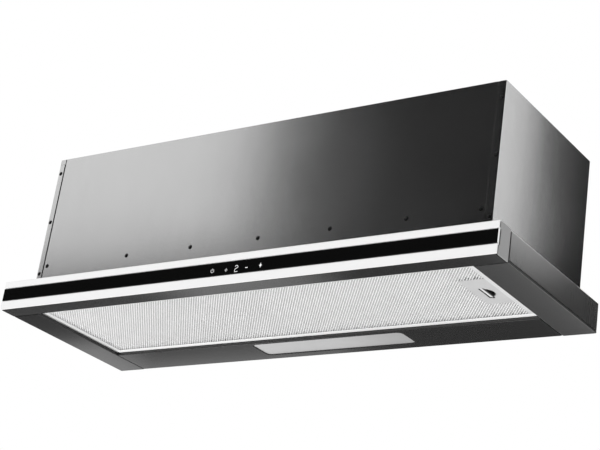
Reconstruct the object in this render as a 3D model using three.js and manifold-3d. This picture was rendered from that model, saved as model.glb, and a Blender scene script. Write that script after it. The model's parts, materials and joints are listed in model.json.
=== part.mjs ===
// Pull-out range hood: a sheet-steel casing that stands inside a wall cabinet, a wider frame below it, and
// a drawer that slides forward with the grease filter. A double-inlet blower hangs in the casing.
// Millimetres. X runs along the front strip, Y from front to rear and Z up; the origin is the middle of the
// underside. Everything is drawn with the drawer closed.
import * as THREE from "three";
import { mergeVertices } from "three/addons/utils/BufferGeometryUtils.js";
import Module from "manifold-3d";

const wasm = await Module();
wasm.setup();

// ---------- Driving dimensions ----------

// The whole hood
const WIDTH = 898; // front strip and lower frame, end to end
const DEPTH = 304; // closed, front strip to rear
const SIDE_STEP = 30.5; // lower frame beyond the casing, under the cabinet's side board
const BODY_HEIGHT = 277; // underside to top panel
const SHEET = 1; // folded steel sheet
const BEND = 1.4; // radius of a fold, on the sheet's mid-line
const SEAM = 0.3; // gap between pieces that touch
const SCREW_HOLE = 1.6; // radius

// Drawer front: strip, glass band, end caps
const STRIP_HEIGHT = 47.7;
const BOX_DEPTH = 33; // strip to the back of the box behind it
const DRAWER_GAP = 0.5; // closed box to casing
const TOP_BAND = 11.8; // steel above the glass
const BOTTOM_BAND = 14.7; // steel below the glass
const GLASS = 4;
const PROFILE_WALL = 1.5;
const END_CAP = 2.5;
const TOUCH_CENTRE = 22.5; // of the row of touch keys, from the middle of the strip
const TOUCH_LENGTH = 128;
const TOUCH_MARGIN = 2.3; // above and below the board's window

// Lower frame
const FRAME_HEIGHT = 45.5;
const RAIL_WIDTH = 52.7; // underside strip beside the filter
const RAIL_LIP = 5.5; // inner edge, folded up beside the filter
const HEM = 3; // outer edge, folded up below the side cover
const SIDE_LIP = 12; // side cover's inner lip, folded down against the casing
const LAMP_PANEL_DEPTH = 71.8;
const LAMP_PANEL_LIP = 8; // front edge, folded up behind the filter

// Lamp
const LAMP_LENGTH = 280;
const LAMP_DEPTH = 48.5;
const LAMP_CENTRE = 21;
const LAMP_FROM_REAR = 17;
const LAMP_HOUSING_HEIGHT = 18;
const LAMP_LIP = 3; // edge of the lamp's opening, folded up round the lens
const LAMP_CORNER = 8; // radius of the opening's corners
const LENS_RECESS = 1.6; // lens's face above the underside
const LENS_RIM = 3; // width of the lens's rim round the opening
const LENS_THICK = 2.2;
const LIGHTS = 6;

// Casing
const FLANGE = 10.5; // side panel, folded round the front
const FLANGE_ROOM = 2.7; // the flange's lower end above the fixed filter's shelves
const EAR = 9; // front panel above the flange's end
const RIVET_LINE = 84; // height of the screw row
const ROW_PITCH = 127.7;
const ROW_CENTRE = 26;
const CROSS_RAIL_LEG = 12.5;
const CROSS_RAIL_HEIGHT = 47;
const CROSS_RAIL_END_ROOM = 4; // rail's end to the side panel's flange
const TOP_PANEL_LIP = 8;
const REAR_FLANGE = 15;
const FOOT_ROOM = 2; // between a side panel's foot and the side cover round it
const SEAT_LINE = 1.2; // shallow line in a side panel, where the cabinet's underside comes
const SEAT_LINE_DEPTH = 0.3;
const BEAD_INSET = 60; // stiffening beads of the rear panel
const BEAD_HEIGHT = 8;
const BEAD_DEPTH = 1;
const GLAND_FROM_SIDE = 118;
const GLAND_FROM_REAR = 40;
const GLAND_RADIUS = 8;
const GLAND_BORE = 3.6;

// Drawer slides, filter and latch
const DRAWER_TOP = 41; // arms and slides stay below the fixed filter
const SLIDE_HEIGHT = 32;
const SLIDE_MIDDLE = 25; // height of its middle
const SLIDE_THICK = 12.7;
const SLIDE_LENGTH = 250;
const SLIDE_SHEET = 1.2;
const BALL = 5; // diameter
const CAGE_LENGTH = 60;
const BALLS = 3; // in each track
const REAR_BAR_TOP = 36;
const ARM_TAIL = 41.4; // drawer's arm behind the filter
const COVER_HOLD = 7.3; // how far the arms' tabs reach up the drawer cover's lip
const FILTER_RECESS = 4.4; // filter above the underside
const FILTER_THICK = 8.5;
const FILTER_SWING_ROOM = 3; // left end of the filter to the arm's lip
const FILTER_BORDER = 9;
const FILTER_SHEET = 0.8;
const MESH_PITCH = 14;
const INNER_MESH_PITCH = 26;
const HOOK_SPACING = 120;
const LATCH_PLATE_DEPTH = 88;
const LATCH_OFFSET = 5.8; // finger pocket behind the filter's middle
const POCKET_FROM_END = 17.5; // pocket's edge to the filter's end
const POCKET_RADIUS = 20.5; // a half disc, flat on the bar's side
const POCKET_BLUNT = 3; // cut off its two corners
const DISH_RUN = 7; // width of the pocket's sloped rim
const BAR = 6.5; // width of the bar that a finger pulls
const BAR_ROOM = 1.6; // bar to the pocket's flat side
const LATCH_ARM = 5;
const LATCH_TRAVEL = 5;
const SPRING_ROOM = 7.5; // for the spring's coils with the latch pulled, and the box's wall
const BOLT_WIDTH = 29;
const SPRING_RADIUS = 2;
const SPRING_WIRE = 0.35; // radius
const SPRING_TURNS = 6;

// Fixed filter above the drawer
const SHELF_ROOM = 5; // drawer's arms to the top of the filter's shelves
const INNER_FILTER_THICK = 8;
const INNER_FILTER_BORDER = 12;

// Blower
const WHEEL_RADIUS = 76;
const BLADE_DEPTH = 14;
const WHEEL_WIDTH = 120;
const BLADES = 24;
const CUT_OFF_GAP = 8; // wheel to spiral wall, where it starts
const OUTLET_GAP = 36; // wheel to spiral wall, where it ends
const SCROLL_WALL = 1.5;
const SCROLL_SIDE_GAP = 12; // wheel's end to scroll's side
const SCROLL_ROOM = 8; // below and beside the spiral wall
const INLET_OVERLAP = 5; // inlet bell's edge inside the blades' inner edge
const MOTOR_RADIUS = 42;
const SHAFT_RADIUS = 4;

// Outlet
const COLLAR_HEIGHT = 28;
const COLLAR_RADIUS = 74; // outside, for a 150 mm duct
const COLLAR_WALL = 2;
const COLLAR_FLANGE = 12; // width, outward from the collar
const COLLAR_STOP = 2; // ledge under the flaps, inward from the bore
const PIN_RADIUS = 1.5;
const FLAP_THICK = 1.2;

// ---------- Places worked out from them ----------

const FRONT = -DEPTH / 2;
const REAR = DEPTH / 2;
const BOX_REAR = FRONT + BOX_DEPTH;
const BODY_FRONT = BOX_REAR + DRAWER_GAP;
const HALF = WIDTH / 2;
const BODY = HALF - SIDE_STEP; // outer face of the casing's side
const BODY_INNER = BODY - SHEET;
const RAIL_INNER = HALF - RAIL_WIDTH;
const LAMP_PANEL_FRONT = REAR - LAMP_PANEL_DEPTH;
const SHELF = DRAWER_TOP + SHELF_ROOM; // top of the shelves that carry the fixed filter
const INNER_FILTER_TOP = SHELF + SEAM + INNER_FILTER_THICK;
const REAR_PANEL = REAR - SHEET - SEAM; // its outer face
const INSIDE_FRONT = BODY_FRONT + SHEET;
const INSIDE_REAR = REAR_PANEL - SHEET;
const UNDER_TOP = BODY_HEIGHT - SHEET;

// ---------- Solids ----------

// A closed three.js geometry as a solid that can be joined and cut.
function solid(geometry) {
  const bare = new THREE.BufferGeometry();
  const source = geometry.index ? geometry.toNonIndexed() : geometry;
  bare.setAttribute("position", source.getAttribute("position"));
  const merged = mergeVertices(bare, 1e-4);
  const corners = merged.index.array;
  const kept = [];
  for (let i = 0; i < corners.length; i += 3) {
    const [a, b, c] = corners.slice(i, i + 3);
    if (a !== b && b !== c && c !== a) {
      kept.push(a, b, c);
    }
  }
  return new wasm.Manifold(
    new wasm.Mesh({
      numProp: 3,
      vertProperties: merged.attributes.position.array,
      triVerts: new Uint32Array(kept),
    }),
  );
}

// A solid as a flat-shaded three.js geometry.
function geometryOf(shape) {
  const mesh = shape.getMesh();
  const geometry = new THREE.BufferGeometry();
  geometry.setAttribute("position", new THREE.BufferAttribute(mesh.vertProperties, 3));
  geometry.setIndex(new THREE.BufferAttribute(mesh.triVerts, 1));
  const flat = geometry.toNonIndexed();
  flat.computeVertexNormals();
  return flat;
}

const join = (...shapes) => shapes.reduce((whole, shape) => whole.add(shape));
const cut = (shape, ...tools) => tools.reduce((rest, tool) => rest.subtract(tool), shape);

// Turns (across, up, along) of an extrusion into X, Y and Z for each direction of travel.
const ALONG = {
  x: new THREE.Matrix4().makeBasis(
    new THREE.Vector3(0, 1, 0),
    new THREE.Vector3(0, 0, 1),
    new THREE.Vector3(1, 0, 0),
  ),
  y: new THREE.Matrix4().makeBasis(
    new THREE.Vector3(1, 0, 0),
    new THREE.Vector3(0, 0, 1),
    new THREE.Vector3(0, -1, 0),
  ),
  z: new THREE.Matrix4(),
};

const polygon = (points) => new THREE.Shape(points.map(([u, v]) => new THREE.Vector2(u, v)));

// Extrudes an outline from one coordinate to another. The outline is in (Y, Z) along x, in (X, Z) along y
// and in (X, Y) along z.
function extrude(axis, outline, from, to) {
  const geometry = new THREE.ExtrudeGeometry(polygon(outline), { depth: to - from, bevelEnabled: false });
  geometry.applyMatrix4(ALONG[axis]);
  const start = axis === "y" ? to : from;
  geometry.translate(axis === "x" ? start : 0, axis === "y" ? start : 0, axis === "z" ? start : 0);
  return solid(geometry);
}

// A block between two corners.
function block([x0, y0, z0], [x1, y1, z1]) {
  const geometry = new THREE.BoxGeometry(x1 - x0, y1 - y0, z1 - z0);
  geometry.translate((x0 + x1) / 2, (y0 + y1) / 2, (z0 + z1) / 2);
  return solid(geometry);
}

// A round rod along an axis, from one coordinate to another, centred on the other two.
function rod(axis, radius, from, to, [u, v] = [0, 0], sides = 16) {
  const points = [];
  for (let i = 0; i < sides; i += 1) {
    const angle = ((i + 0.5) / sides) * 2 * Math.PI;
    points.push([u + radius * Math.cos(angle), v + radius * Math.sin(angle)]);
  }
  return extrude(axis, points, from, to);
}

// Revolves a closed profile of [radius, distance along the axis].
function revolve(axis, profile, [u, v] = [0, 0], sides = 32) {
  const area = profile.reduce((sum, [r, h], i) => {
    const [nextR, nextH] = profile[(i + 1) % profile.length];
    return sum + r * nextH - nextR * h;
  }, 0);
  const ordered = area > 0 ? profile : [...profile].reverse();
  const points = [...ordered, ordered[0]].map(([r, h]) => new THREE.Vector2(r, h));
  const geometry = new THREE.LatheGeometry(points, sides);
  // The lathe's axis is Y; it is laid along the axis asked for.
  if (axis === "z") {
    geometry.rotateX(Math.PI / 2);
    geometry.translate(u, v, 0);
  } else {
    geometry.rotateZ(-Math.PI / 2);
    geometry.translate(0, u, v);
  }
  return solid(geometry);
}

// Rounds the inner corners of a polyline, so that sheet folds have a bend radius.
function fillet(points, radius, steps = 2) {
  const out = [points[0]];
  for (let i = 1; i < points.length - 1; i += 1) {
    const corner = new THREE.Vector2(...points[i]);
    const back = new THREE.Vector2(...points[i - 1]).sub(corner);
    const ahead = new THREE.Vector2(...points[i + 1]).sub(corner);
    const room = Math.min(back.length(), ahead.length()) / 2.01;
    const reach = Math.min(radius / Math.tan(back.angleTo(ahead) / 2), room);
    const start = corner.clone().add(back.clone().setLength(reach));
    const end = corner.clone().add(ahead.clone().setLength(reach));
    for (let k = 0; k <= steps; k += 1) {
      const t = k / steps;
      const a = start.clone().lerp(corner, t);
      const b = corner.clone().lerp(end, t);
      const point = a.lerp(b, t);
      out.push([point.x, point.y]);
    }
  }
  out.push(points[points.length - 1]);
  return out;
}

// The outline of a strip of even thickness on both sides of a mid-line.
function ribbon(points, thickness) {
  const left = [];
  const right = [];
  points.forEach(([u, v], i) => {
    const [u0, v0] = points[Math.max(i - 1, 0)];
    const [u1, v1] = points[Math.min(i + 1, points.length - 1)];
    const before = new THREE.Vector2(u - u0, v - v0).normalize();
    const after = new THREE.Vector2(u1 - u, v1 - v).normalize();
    const along = before.clone().add(after).normalize();
    const cosine = before.lengthSq() && after.lengthSq() ? along.dot(after) : 1;
    const reach = thickness / 2 / cosine;
    left.push([u - along.y * reach, v + along.x * reach]);
    right.push([u + along.y * reach, v - along.x * reach]);
  });
  return [...left, ...right.reverse()];
}

// Folded sheet: a mid-line with rounded folds, given its thickness and extruded.
const folded = (axis, line, from, to, thickness = SHEET, radius = BEND) =>
  extrude(axis, ribbon(fillet(line, radius), thickness), from, to);

// A rectangle's outline in (X, Y) with round corners, moved outward by a margin.
function rounded({ left, right, front, rear }, radius, margin = 0) {
  const [x0, x1, y0, y1] = [left - margin, right + margin, front - margin, rear + margin];
  const start = [x0, (y0 + y1) / 2];
  return fillet([start, [x0, y0], [x1, y0], [x1, y1], [x0, y1], start], radius).slice(0, -1);
}

// A rectangular frame or pan: a block less the block inside it.
const hollow = (low, high, innerLow, innerHigh) => cut(block(low, high), block(innerLow, innerHigh));

// ---------- Finishes ----------

const finish = (color, roughness, metalness) =>
  new THREE.MeshStandardMaterial({ color, roughness, metalness });
const STEEL = finish(0xb4b4b4, 0.32, 1);
const STRIP = finish(0xe2e2e2, 0.22, 1);
const ZINC = finish(0x9c9d9f, 0.45, 1);
const CHARCOAL = finish(0x3a3b3d, 0.5, 0.4);
const GREY = finish(0x77787a, 0.5, 0);
const BLACK = finish(0x1b1b1d, 0.45, 0);
const GLASS_BLACK = finish(0x050506, 0.06, 0);
const FROSTED = finish(0xd9dad8, 0.4, 0);
const ALUMINIUM = finish(0xd8d9da, 0.3, 1);
const BOARD = finish(0x1f4a34, 0.6, 0);

const hood = new THREE.Group();

function add(name, shape, material) {
  const mesh = new THREE.Mesh(geometryOf(shape), material);
  mesh.name = name;
  hood.add(mesh);
}

// A piece drawn on the right side and mirrored to the left.
function addMirrored(name, shape, material) {
  const mesh = new THREE.Mesh(geometryOf(shape), material);
  mesh.name = name;
  mesh.scale.x = -1;
  hood.add(mesh);
}

function addPair(name, shape, material) {
  add(`${name}_right`, shape, material);
  addMirrored(`${name}_left`, shape, material);
}

// ---------- Casing ----------

const FLANGE_TOP = BODY_HEIGHT - EAR - SEAM;
const FLANGE_BOTTOM = SHELF + FLANGE_ROOM; // the drawer's arms and slides pass below it
const FLANGE_SCREWS = [FLANGE_TOP - 16, (FLANGE_TOP + FLANGE_BOTTOM) / 2 + 5, FLANGE_BOTTOM + 23];
const FLANGE_SCREW_X = BODY - FLANGE / 2;
const CROSS_RAIL_SCREW = BODY - 19.5;
const frontHole = (x, z) => rod("y", SCREW_HOLE, FRONT, INSIDE_FRONT + 5, [x, z], 8);

function sidePanel() {
  const wall = BODY - SHEET / 2;
  const front = BODY_FRONT + SHEET / 2;
  const rear = REAR - SHEET / 2;
  const line = [[BODY - FLANGE, front], [wall, front], [wall, rear], [BODY - REAR_FLANGE, rear]];
  const bottom = SHEET + SEAM;
  const panel = folded("z", line, bottom, BODY_HEIGHT);
  const foot = block(
    [BODY_INNER, INSIDE_FRONT + FOOT_ROOM, bottom],
    [HALF - SHEET - FOOT_ROOM, REAR - SHEET - FOOT_ROOM, bottom + SHEET],
  );
  const flangeBack = INSIDE_FRONT + SHEET / 2;
  const belowFlange = block([0, FRONT, 0], [BODY_INNER, flangeBack, FLANGE_BOTTOM]);
  const aboveFlange = block([0, FRONT, FLANGE_TOP], [BODY_INNER - SEAM, flangeBack, BODY_HEIGHT + 1]);
  const seatLine = block(
    [BODY - SEAT_LINE_DEPTH, FRONT, FRAME_HEIGHT],
    [HALF, REAR + 1, FRAME_HEIGHT + SEAT_LINE],
  );
  const holes = FLANGE_SCREWS.map((z) => frontHole(FLANGE_SCREW_X, z));
  return cut(join(panel, foot), belowFlange, aboveFlange, seatLine, ...holes);
}

// The front panel lies flush between the side flanges. Its edges step back behind them and take their screws.
function frontPanel() {
  const face = BODY_FRONT + SHEET / 2;
  const behind = face + SHEET + SEAM;
  const edge = BODY - FLANGE - SEAM;
  const tab = BODY_INNER - SEAM;
  const rightEnd = [[edge - 2.5, face], [edge - 0.5, behind], [tab, behind]];
  const line = [...rightEnd.map(([x, y]) => [-x, y]).reverse(), ...rightEnd];
  const field = extrude("z", ribbon(line, SHEET), FLANGE_BOTTOM, UNDER_TOP - SEAM);
  const head = block(
    [-BODY_INNER + 2 * SEAM, BODY_FRONT, FLANGE_TOP + SEAM],
    [BODY_INNER - 2 * SEAM, INSIDE_FRONT, BODY_HEIGHT],
  );
  const holes = [];
  for (let i = -2; i <= 2; i += 1) {
    holes.push(frontHole(ROW_CENTRE + i * ROW_PITCH, RIVET_LINE));
  }
  [-1, 1].forEach((side) => {
    holes.push(frontHole(side * CROSS_RAIL_SCREW, RIVET_LINE));
    FLANGE_SCREWS.forEach((z) => holes.push(frontHole(side * FLANGE_SCREW_X, z)));
  });
  return cut(join(field, head), ...holes);
}

// Front and rear cross rails stiffen the casing. Their shelves carry the fixed filter.
const CROSS_RAIL_END = BODY - FLANGE - CROSS_RAIL_END_ROOM;
const RAIL_TOP = SHELF - SHEET + CROSS_RAIL_HEIGHT;

function crossRail(face, inward) {
  const leg = face + inward * (SEAM + SHEET / 2);
  const shelf = SHELF - SHEET / 2;
  const line = [[leg, RAIL_TOP], [leg, shelf], [leg + inward * CROSS_RAIL_LEG, shelf]];
  return folded("x", line, -CROSS_RAIL_END, CROSS_RAIL_END);
}

const frontRail = () => {
  const holes = [-1, 1].map((side) => frontHole(side * CROSS_RAIL_SCREW, RIVET_LINE));
  return cut(crossRail(INSIDE_FRONT, 1), ...holes);
};

function rearPanel() {
  const edge = BODY_INNER - SEAM;
  const sheet = block([-edge, INSIDE_REAR, SHEET + SEAM], [edge, REAR_PANEL, UNDER_TOP - SEAM]);
  const bar = (z, from, to, inset) => {
    const x = edge - BEAD_INSET - inset;
    const reach = BEAD_HEIGHT / 2 - inset;
    return extrude("x", [[from, z - reach], [to, z - reach], [to, z + reach], [from, z + reach]], -x, x);
  };
  const levels = [0.3, 0.75].map((share) => RAIL_TOP + (UNDER_TOP - RAIL_TOP) * share);
  const beads = levels.map((z) => bar(z, INSIDE_REAR - BEAD_DEPTH - SHEET, INSIDE_REAR + SHEET / 2, 0));
  const grooves = levels.map((z) => bar(z, INSIDE_REAR - BEAD_DEPTH, REAR, SHEET));
  return cut(join(sheet, ...beads), ...grooves);
}

// The scroll's wall is a spiral round the wheel. Its radius grows evenly from the cut-off, at SPIRAL_START,
// to the throat's rear wall at a full turn; angles run from +Y, through +Z and -Y.
const WHEEL_BORE = WHEEL_RADIUS - BLADE_DEPTH;
const CUT_OFF_RADIUS = WHEEL_RADIUS + CUT_OFF_GAP;
const OUTLET_RADIUS = WHEEL_RADIUS + OUTLET_GAP;
const INLET_RADIUS = WHEEL_BORE - INLET_OVERLAP;
const COLLAR_BORE = COLLAR_RADIUS - COLLAR_WALL;
const THROAT = 2 * COLLAR_BORE + 2;
const SPIRAL_START = Math.acos((OUTLET_RADIUS - THROAT) / CUT_OFF_RADIUS);
function spiralRadius(angle) {
  const share = (angle - SPIRAL_START) / (2 * Math.PI - SPIRAL_START);
  return CUT_OFF_RADIUS + (OUTLET_RADIUS - CUT_OFF_RADIUS) * share;
}

// The blower's place: midway between the front and rear panels, above the fixed filter.
const FAN_Y = (INSIDE_FRONT + INSIDE_REAR + spiralRadius(Math.PI) - OUTLET_RADIUS) / 2;
const FAN_Z = INNER_FILTER_TOP + SCROLL_ROOM + spiralRadius(1.5 * Math.PI);
const OUTLET_Y = FAN_Y + OUTLET_RADIUS - THROAT / 2;
const GLAND = [BODY - GLAND_FROM_SIDE, INSIDE_REAR - GLAND_FROM_REAR];

function topPanel() {
  const x = BODY_INNER - SEAM;
  const front = INSIDE_FRONT + SEAM;
  const sheet = block([-x, front, UNDER_TOP], [x, REAR - SHEET - SEAM, BODY_HEIGHT]);
  const low = UNDER_TOP - TOP_PANEL_LIP;
  const lips = hollow(
    [-x, front + SHEET + SEAM, low],
    [x, INSIDE_REAR - SEAM, UNDER_TOP + 0.5],
    [-x + SHEET, front + 2 * SHEET + SEAM, low - 1],
    [x - SHEET, INSIDE_REAR - SEAM - SHEET, UNDER_TOP + 1],
  );
  const outlet = rod("z", COLLAR_BORE, UNDER_TOP - 1, BODY_HEIGHT + 1, [0, OUTLET_Y], 40);
  const cable = rod("z", GLAND_RADIUS + SEAM, UNDER_TOP - 1, BODY_HEIGHT + 1, GLAND);
  return cut(join(sheet, lips), outlet, cable);
}

// ---------- Lower frame ----------

// Side cover: a box open below and towards the casing, with a short lip against the casing's side.
function lowerSide() {
  const inner = BODY + 0.4;
  const bottom = HEM + SEAM;
  const shell = hollow(
    [inner, BODY_FRONT, bottom],
    [HALF, REAR, FRAME_HEIGHT],
    [inner + SHEET, INSIDE_FRONT, bottom - 1],
    [HALF - SHEET, REAR - SHEET, FRAME_HEIGHT - SHEET],
  );
  const belowLip = block([inner - 1, INSIDE_FRONT + 4, 0], [inner + 2, REAR - 5, FRAME_HEIGHT - SIDE_LIP]);
  return cut(shell, belowLip);
}

function bottomRail() {
  const mid = SHEET / 2;
  const line = [[RAIL_INNER + mid, RAIL_LIP], [RAIL_INNER + mid, mid], [HALF - mid, mid], [HALF - mid, HEM]];
  const rail = folded("y", line, BODY_FRONT, REAR, SHEET, 1);
  const rearPanelRoom = block([0, INSIDE_REAR - SEAM, SHEET], [RAIL_INNER + 3, REAR + 1, RAIL_LIP + 1]);
  return cut(rail, rearPanelRoom);
}

const LAMP = {
  left: LAMP_CENTRE - LAMP_LENGTH / 2,
  right: LAMP_CENTRE + LAMP_LENGTH / 2,
  front: REAR - LAMP_FROM_REAR - LAMP_DEPTH,
  rear: REAR - LAMP_FROM_REAR,
};

function lampPanel() {
  const mid = SHEET / 2;
  const x = RAIL_INNER - 0.4;
  const line = [
    [LAMP_PANEL_FRONT + mid, LAMP_PANEL_LIP],
    [LAMP_PANEL_FRONT + mid, mid],
    [REAR - mid, mid],
    [REAR - mid, HEM],
  ];
  const sheet = folded("x", line, -x, x, SHEET, 1);
  const lip = extrude("z", rounded(LAMP, LAMP_CORNER + SHEET, SHEET), SHEET / 2, LAMP_LIP);
  return cut(join(sheet, lip), extrude("z", rounded(LAMP, LAMP_CORNER), -1, LAMP_LIP + 1));
}

// The lens fills the opening, and its rim rests on the lip.
const LENS_BOTTOM = LAMP_LIP + SEAM;
function lampLens() {
  const outline = rounded(LAMP, LAMP_CORNER - 0.4, -0.4);
  const face = extrude("z", outline, LENS_RECESS, LENS_BOTTOM + LENS_THICK / 2);
  const rim = block(
    [LAMP.left - LENS_RIM, LAMP.front - LENS_RIM, LENS_BOTTOM],
    [LAMP.right + LENS_RIM, LAMP.rear + LENS_RIM, LENS_BOTTOM + LENS_THICK],
  );
  return join(rim, face);
}

const HOUSING_BOTTOM = LENS_BOTTOM + LENS_THICK + SEAM;
const HOUSING_TOP = HOUSING_BOTTOM + LAMP_HOUSING_HEIGHT;
const HOUSING_WALL = 1.2;

// Tray over the lens, open below, with sloped front and rear walls and a cable entry at its right end.
function lampHousing() {
  const reach = LENS_RIM + 1;
  const end = LENS_RIM + 2;
  const section = (inset, bottom, top) => [
    [LAMP.front - reach + inset, bottom],
    [LAMP.rear + reach - inset, bottom],
    [LAMP.rear - reach - inset, top],
    [LAMP.front + reach + inset, top],
  ];
  const outer = extrude("x", section(0, HOUSING_BOTTOM, HOUSING_TOP), LAMP.left - end, LAMP.right + end);
  const inner = extrude(
    "x",
    section(HOUSING_WALL, HOUSING_BOTTOM - 1, HOUSING_TOP - HOUSING_WALL),
    LAMP.left - end + HOUSING_WALL,
    LAMP.right + end - HOUSING_WALL,
  );
  const middle = (LAMP.front + LAMP.rear) / 2;
  const cableEntry = rod("x", 2.5, LAMP.right, LAMP.right + 2 * end, [middle, HOUSING_TOP - 6], 8);
  return cut(outer, inner, cableEntry);
}

function ledBoard() {
  const top = HOUSING_TOP - HOUSING_WALL - SEAM;
  const y = (LAMP.front + LAMP.rear) / 2;
  const inset = 8;
  const board = block([LAMP.left + inset, y - 9, top - 1.6], [LAMP.right - inset, y + 9, top]);
  const lights = [];
  for (let i = 0; i < LIGHTS; i += 1) {
    const x = LAMP.left + inset + ((i + 0.5) / LIGHTS) * (LAMP_LENGTH - 2 * inset);
    lights.push(block([x - 2.5, y - 2.5, top - 2.8], [x + 2.5, y + 2.5, top - 1.4]));
  }
  return join(board, ...lights);
}

// ---------- Drawer slides ----------

// Distances in a slide's section run inward from the casing's side, and up from the slide's middle.
const SLIDE_WALL = BODY_INNER - SEAM;
const slidePoint = (inward, up) => [SLIDE_WALL - inward, SLIDE_MIDDLE + up];
const SLIDE_FRONT = INSIDE_FRONT + 2;
const SLIDE_REAR = SLIDE_FRONT + SLIDE_LENGTH;
const OUTER_FLANGE = (SLIDE_HEIGHT - SLIDE_SHEET) / 2;
const INNER_FLANGE = OUTER_FLANGE - SLIDE_SHEET - BALL - 2 * SEAM;
const BALL_TRACK = (OUTER_FLANGE + INNER_FLANGE) / 2;
const BALL_INWARD = SLIDE_THICK / 2 - 0.95;
const SLIDE_BEND = 1.3;

function slideOuter() {
  const lip = OUTER_FLANGE - 3;
  const reach = SLIDE_THICK - 2 * SLIDE_SHEET - SEAM / 2;
  const line = [
    slidePoint(reach, lip),
    slidePoint(reach, OUTER_FLANGE),
    slidePoint(SLIDE_SHEET / 2, OUTER_FLANGE),
    slidePoint(SLIDE_SHEET / 2, -OUTER_FLANGE),
    slidePoint(reach, -OUTER_FLANGE),
    slidePoint(reach, -lip),
  ];
  return folded("y", line, SLIDE_FRONT, SLIDE_REAR, SLIDE_SHEET, SLIDE_BEND);
}

const ARM_OUTER = SLIDE_WALL - SLIDE_THICK - SEAM; // outer face of the drawer's arm
const ARM_FRONT = BOX_REAR + SEAM;

function slideInner() {
  const web = SLIDE_THICK - SLIDE_SHEET / 2;
  const line = [
    slidePoint(BALL_INWARD - SLIDE_SHEET / 2, INNER_FLANGE),
    slidePoint(web, INNER_FLANGE),
    slidePoint(web, -INNER_FLANGE),
    slidePoint(BALL_INWARD - SLIDE_SHEET / 2, -INNER_FLANGE),
  ];
  return folded("y", line, ARM_FRONT, SLIDE_REAR - 14, SLIDE_SHEET, SLIDE_BEND);
}

// The cage holds three balls above and three below, and rolls at half the drawer's speed.
function ballCage() {
  const web = SLIDE_SHEET + 1.4;
  const line = [
    slidePoint(BALL_INWARD, BALL_TRACK),
    slidePoint(web, BALL_TRACK),
    slidePoint(web, -BALL_TRACK),
    slidePoint(BALL_INWARD, -BALL_TRACK),
  ];
  const start = (ARM_FRONT + SLIDE_REAR) / 2 + 4;
  let cage = folded("y", line, start, start + CAGE_LENGTH, 0.8, SLIDE_BEND);
  [-1, 1].forEach((side) => {
    for (let i = 0; i < BALLS; i += 1) {
      const ball = new THREE.OctahedronGeometry(BALL / 2, 1);
      const [x, z] = slidePoint(BALL_INWARD, side * BALL_TRACK);
      ball.translate(x, start + ((i + 0.5) * CAGE_LENGTH) / BALLS, z);
      cage = cage.add(solid(ball));
    }
  });
  return cage;
}

// ---------- Drawer ----------

const GLASS_BACK = FRONT + GLASS;
const RECESS = GLASS_BACK + SEAM; // front of the wall behind the glass
const GLASS_LOW = BOTTOM_BAND;
const GLASS_HIGH = STRIP_HEIGHT - TOP_BAND;
const TRIM = HALF - END_CAP - SEAM;

// One extruded section: two steel bands, and a channel between them for the glass.
function frontProfile() {
  const t = PROFILE_WALL / 2;
  const face = FRONT + t;
  const floor = RECESS + t;
  const line = [
    [FRONT + 12, STRIP_HEIGHT - t],
    [face, STRIP_HEIGHT - t],
    [face, GLASS_HIGH + t],
    [floor, GLASS_HIGH + t],
    [floor, GLASS_LOW - t],
    [face, GLASS_LOW - t],
    [face, 0],
  ];
  const profile = extrude("x", ribbon(fillet(line, 0.9, 1), PROFILE_WALL), -HALF, HALF);
  const ends = [-1, 1].map((side) => {
    const x = [side * TRIM, side * (HALF + 1)].sort((a, b) => a - b);
    return block([x[0], GLASS_BACK, -1], [x[1], BOX_REAR, STRIP_HEIGHT + 1]);
  });
  const window = block(
    [TOUCH_CENTRE - TOUCH_LENGTH / 2, RECESS - 1, GLASS_LOW + TOUCH_MARGIN],
    [TOUCH_CENTRE + TOUCH_LENGTH / 2, RECESS + 2 * PROFILE_WALL, GLASS_HIGH - TOUCH_MARGIN],
  );
  return cut(profile, ...ends, window);
}

// The glass has ground edges.
function controlGlass() {
  const low = GLASS_LOW + SEAM;
  const high = GLASS_HIGH - SEAM;
  const bevel = 0.5;
  const outline = [
    [GLASS_BACK, low],
    [GLASS_BACK, high],
    [FRONT + bevel, high],
    [FRONT, high - bevel],
    [FRONT, low + bevel],
    [FRONT + bevel, low],
  ];
  return extrude("x", outline, -HALF + SEAM, HALF - SEAM);
}

function touchBoard() {
  const left = TOUCH_CENTRE - TOUCH_LENGTH / 2 + 0.4;
  const right = TOUCH_CENTRE + TOUCH_LENGTH / 2 - 0.4;
  const low = GLASS_LOW + TOUCH_MARGIN + 0.4;
  const high = GLASS_HIGH - TOUCH_MARGIN - 0.4;
  const board = block([left, RECESS, low], [right, RECESS + 1.6, high]);
  const chip = block([TOUCH_CENTRE - 7, RECESS + 1, low + 3], [TOUCH_CENTRE + 7, RECESS + 2.8, low + 11]);
  const plug = block([right - 16, RECESS + 1, low + 3], [right - 4, RECESS + 7, low + 10]);
  return join(board, chip, plug);
}

// Grey end cap with a skirt that plugs into the box.
function endCap() {
  const inside = HALF - END_CAP;
  const plate = block([inside, RECESS, 0], [HALF, BOX_REAR, STRIP_HEIGHT]);
  const skirtWall = 1.4;
  const low = [inside - 6, RECESS + PROFILE_WALL + 1, SHEET + 0.6];
  const high = [inside + 0.5, BOX_REAR - SHEET - 0.6, STRIP_HEIGHT - SHEET - 0.8];
  const skirt = hollow(
    low,
    high,
    [low[0] - 1, low[1] + skirtWall, low[2] + skirtWall],
    [inside, high[1] - skirtWall, high[2] - skirtWall],
  );
  return join(plate, skirt);
}

const COVER_LIP = DRAWER_TOP - COVER_HOLD; // where the cover's rear lip meets the underside's

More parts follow.
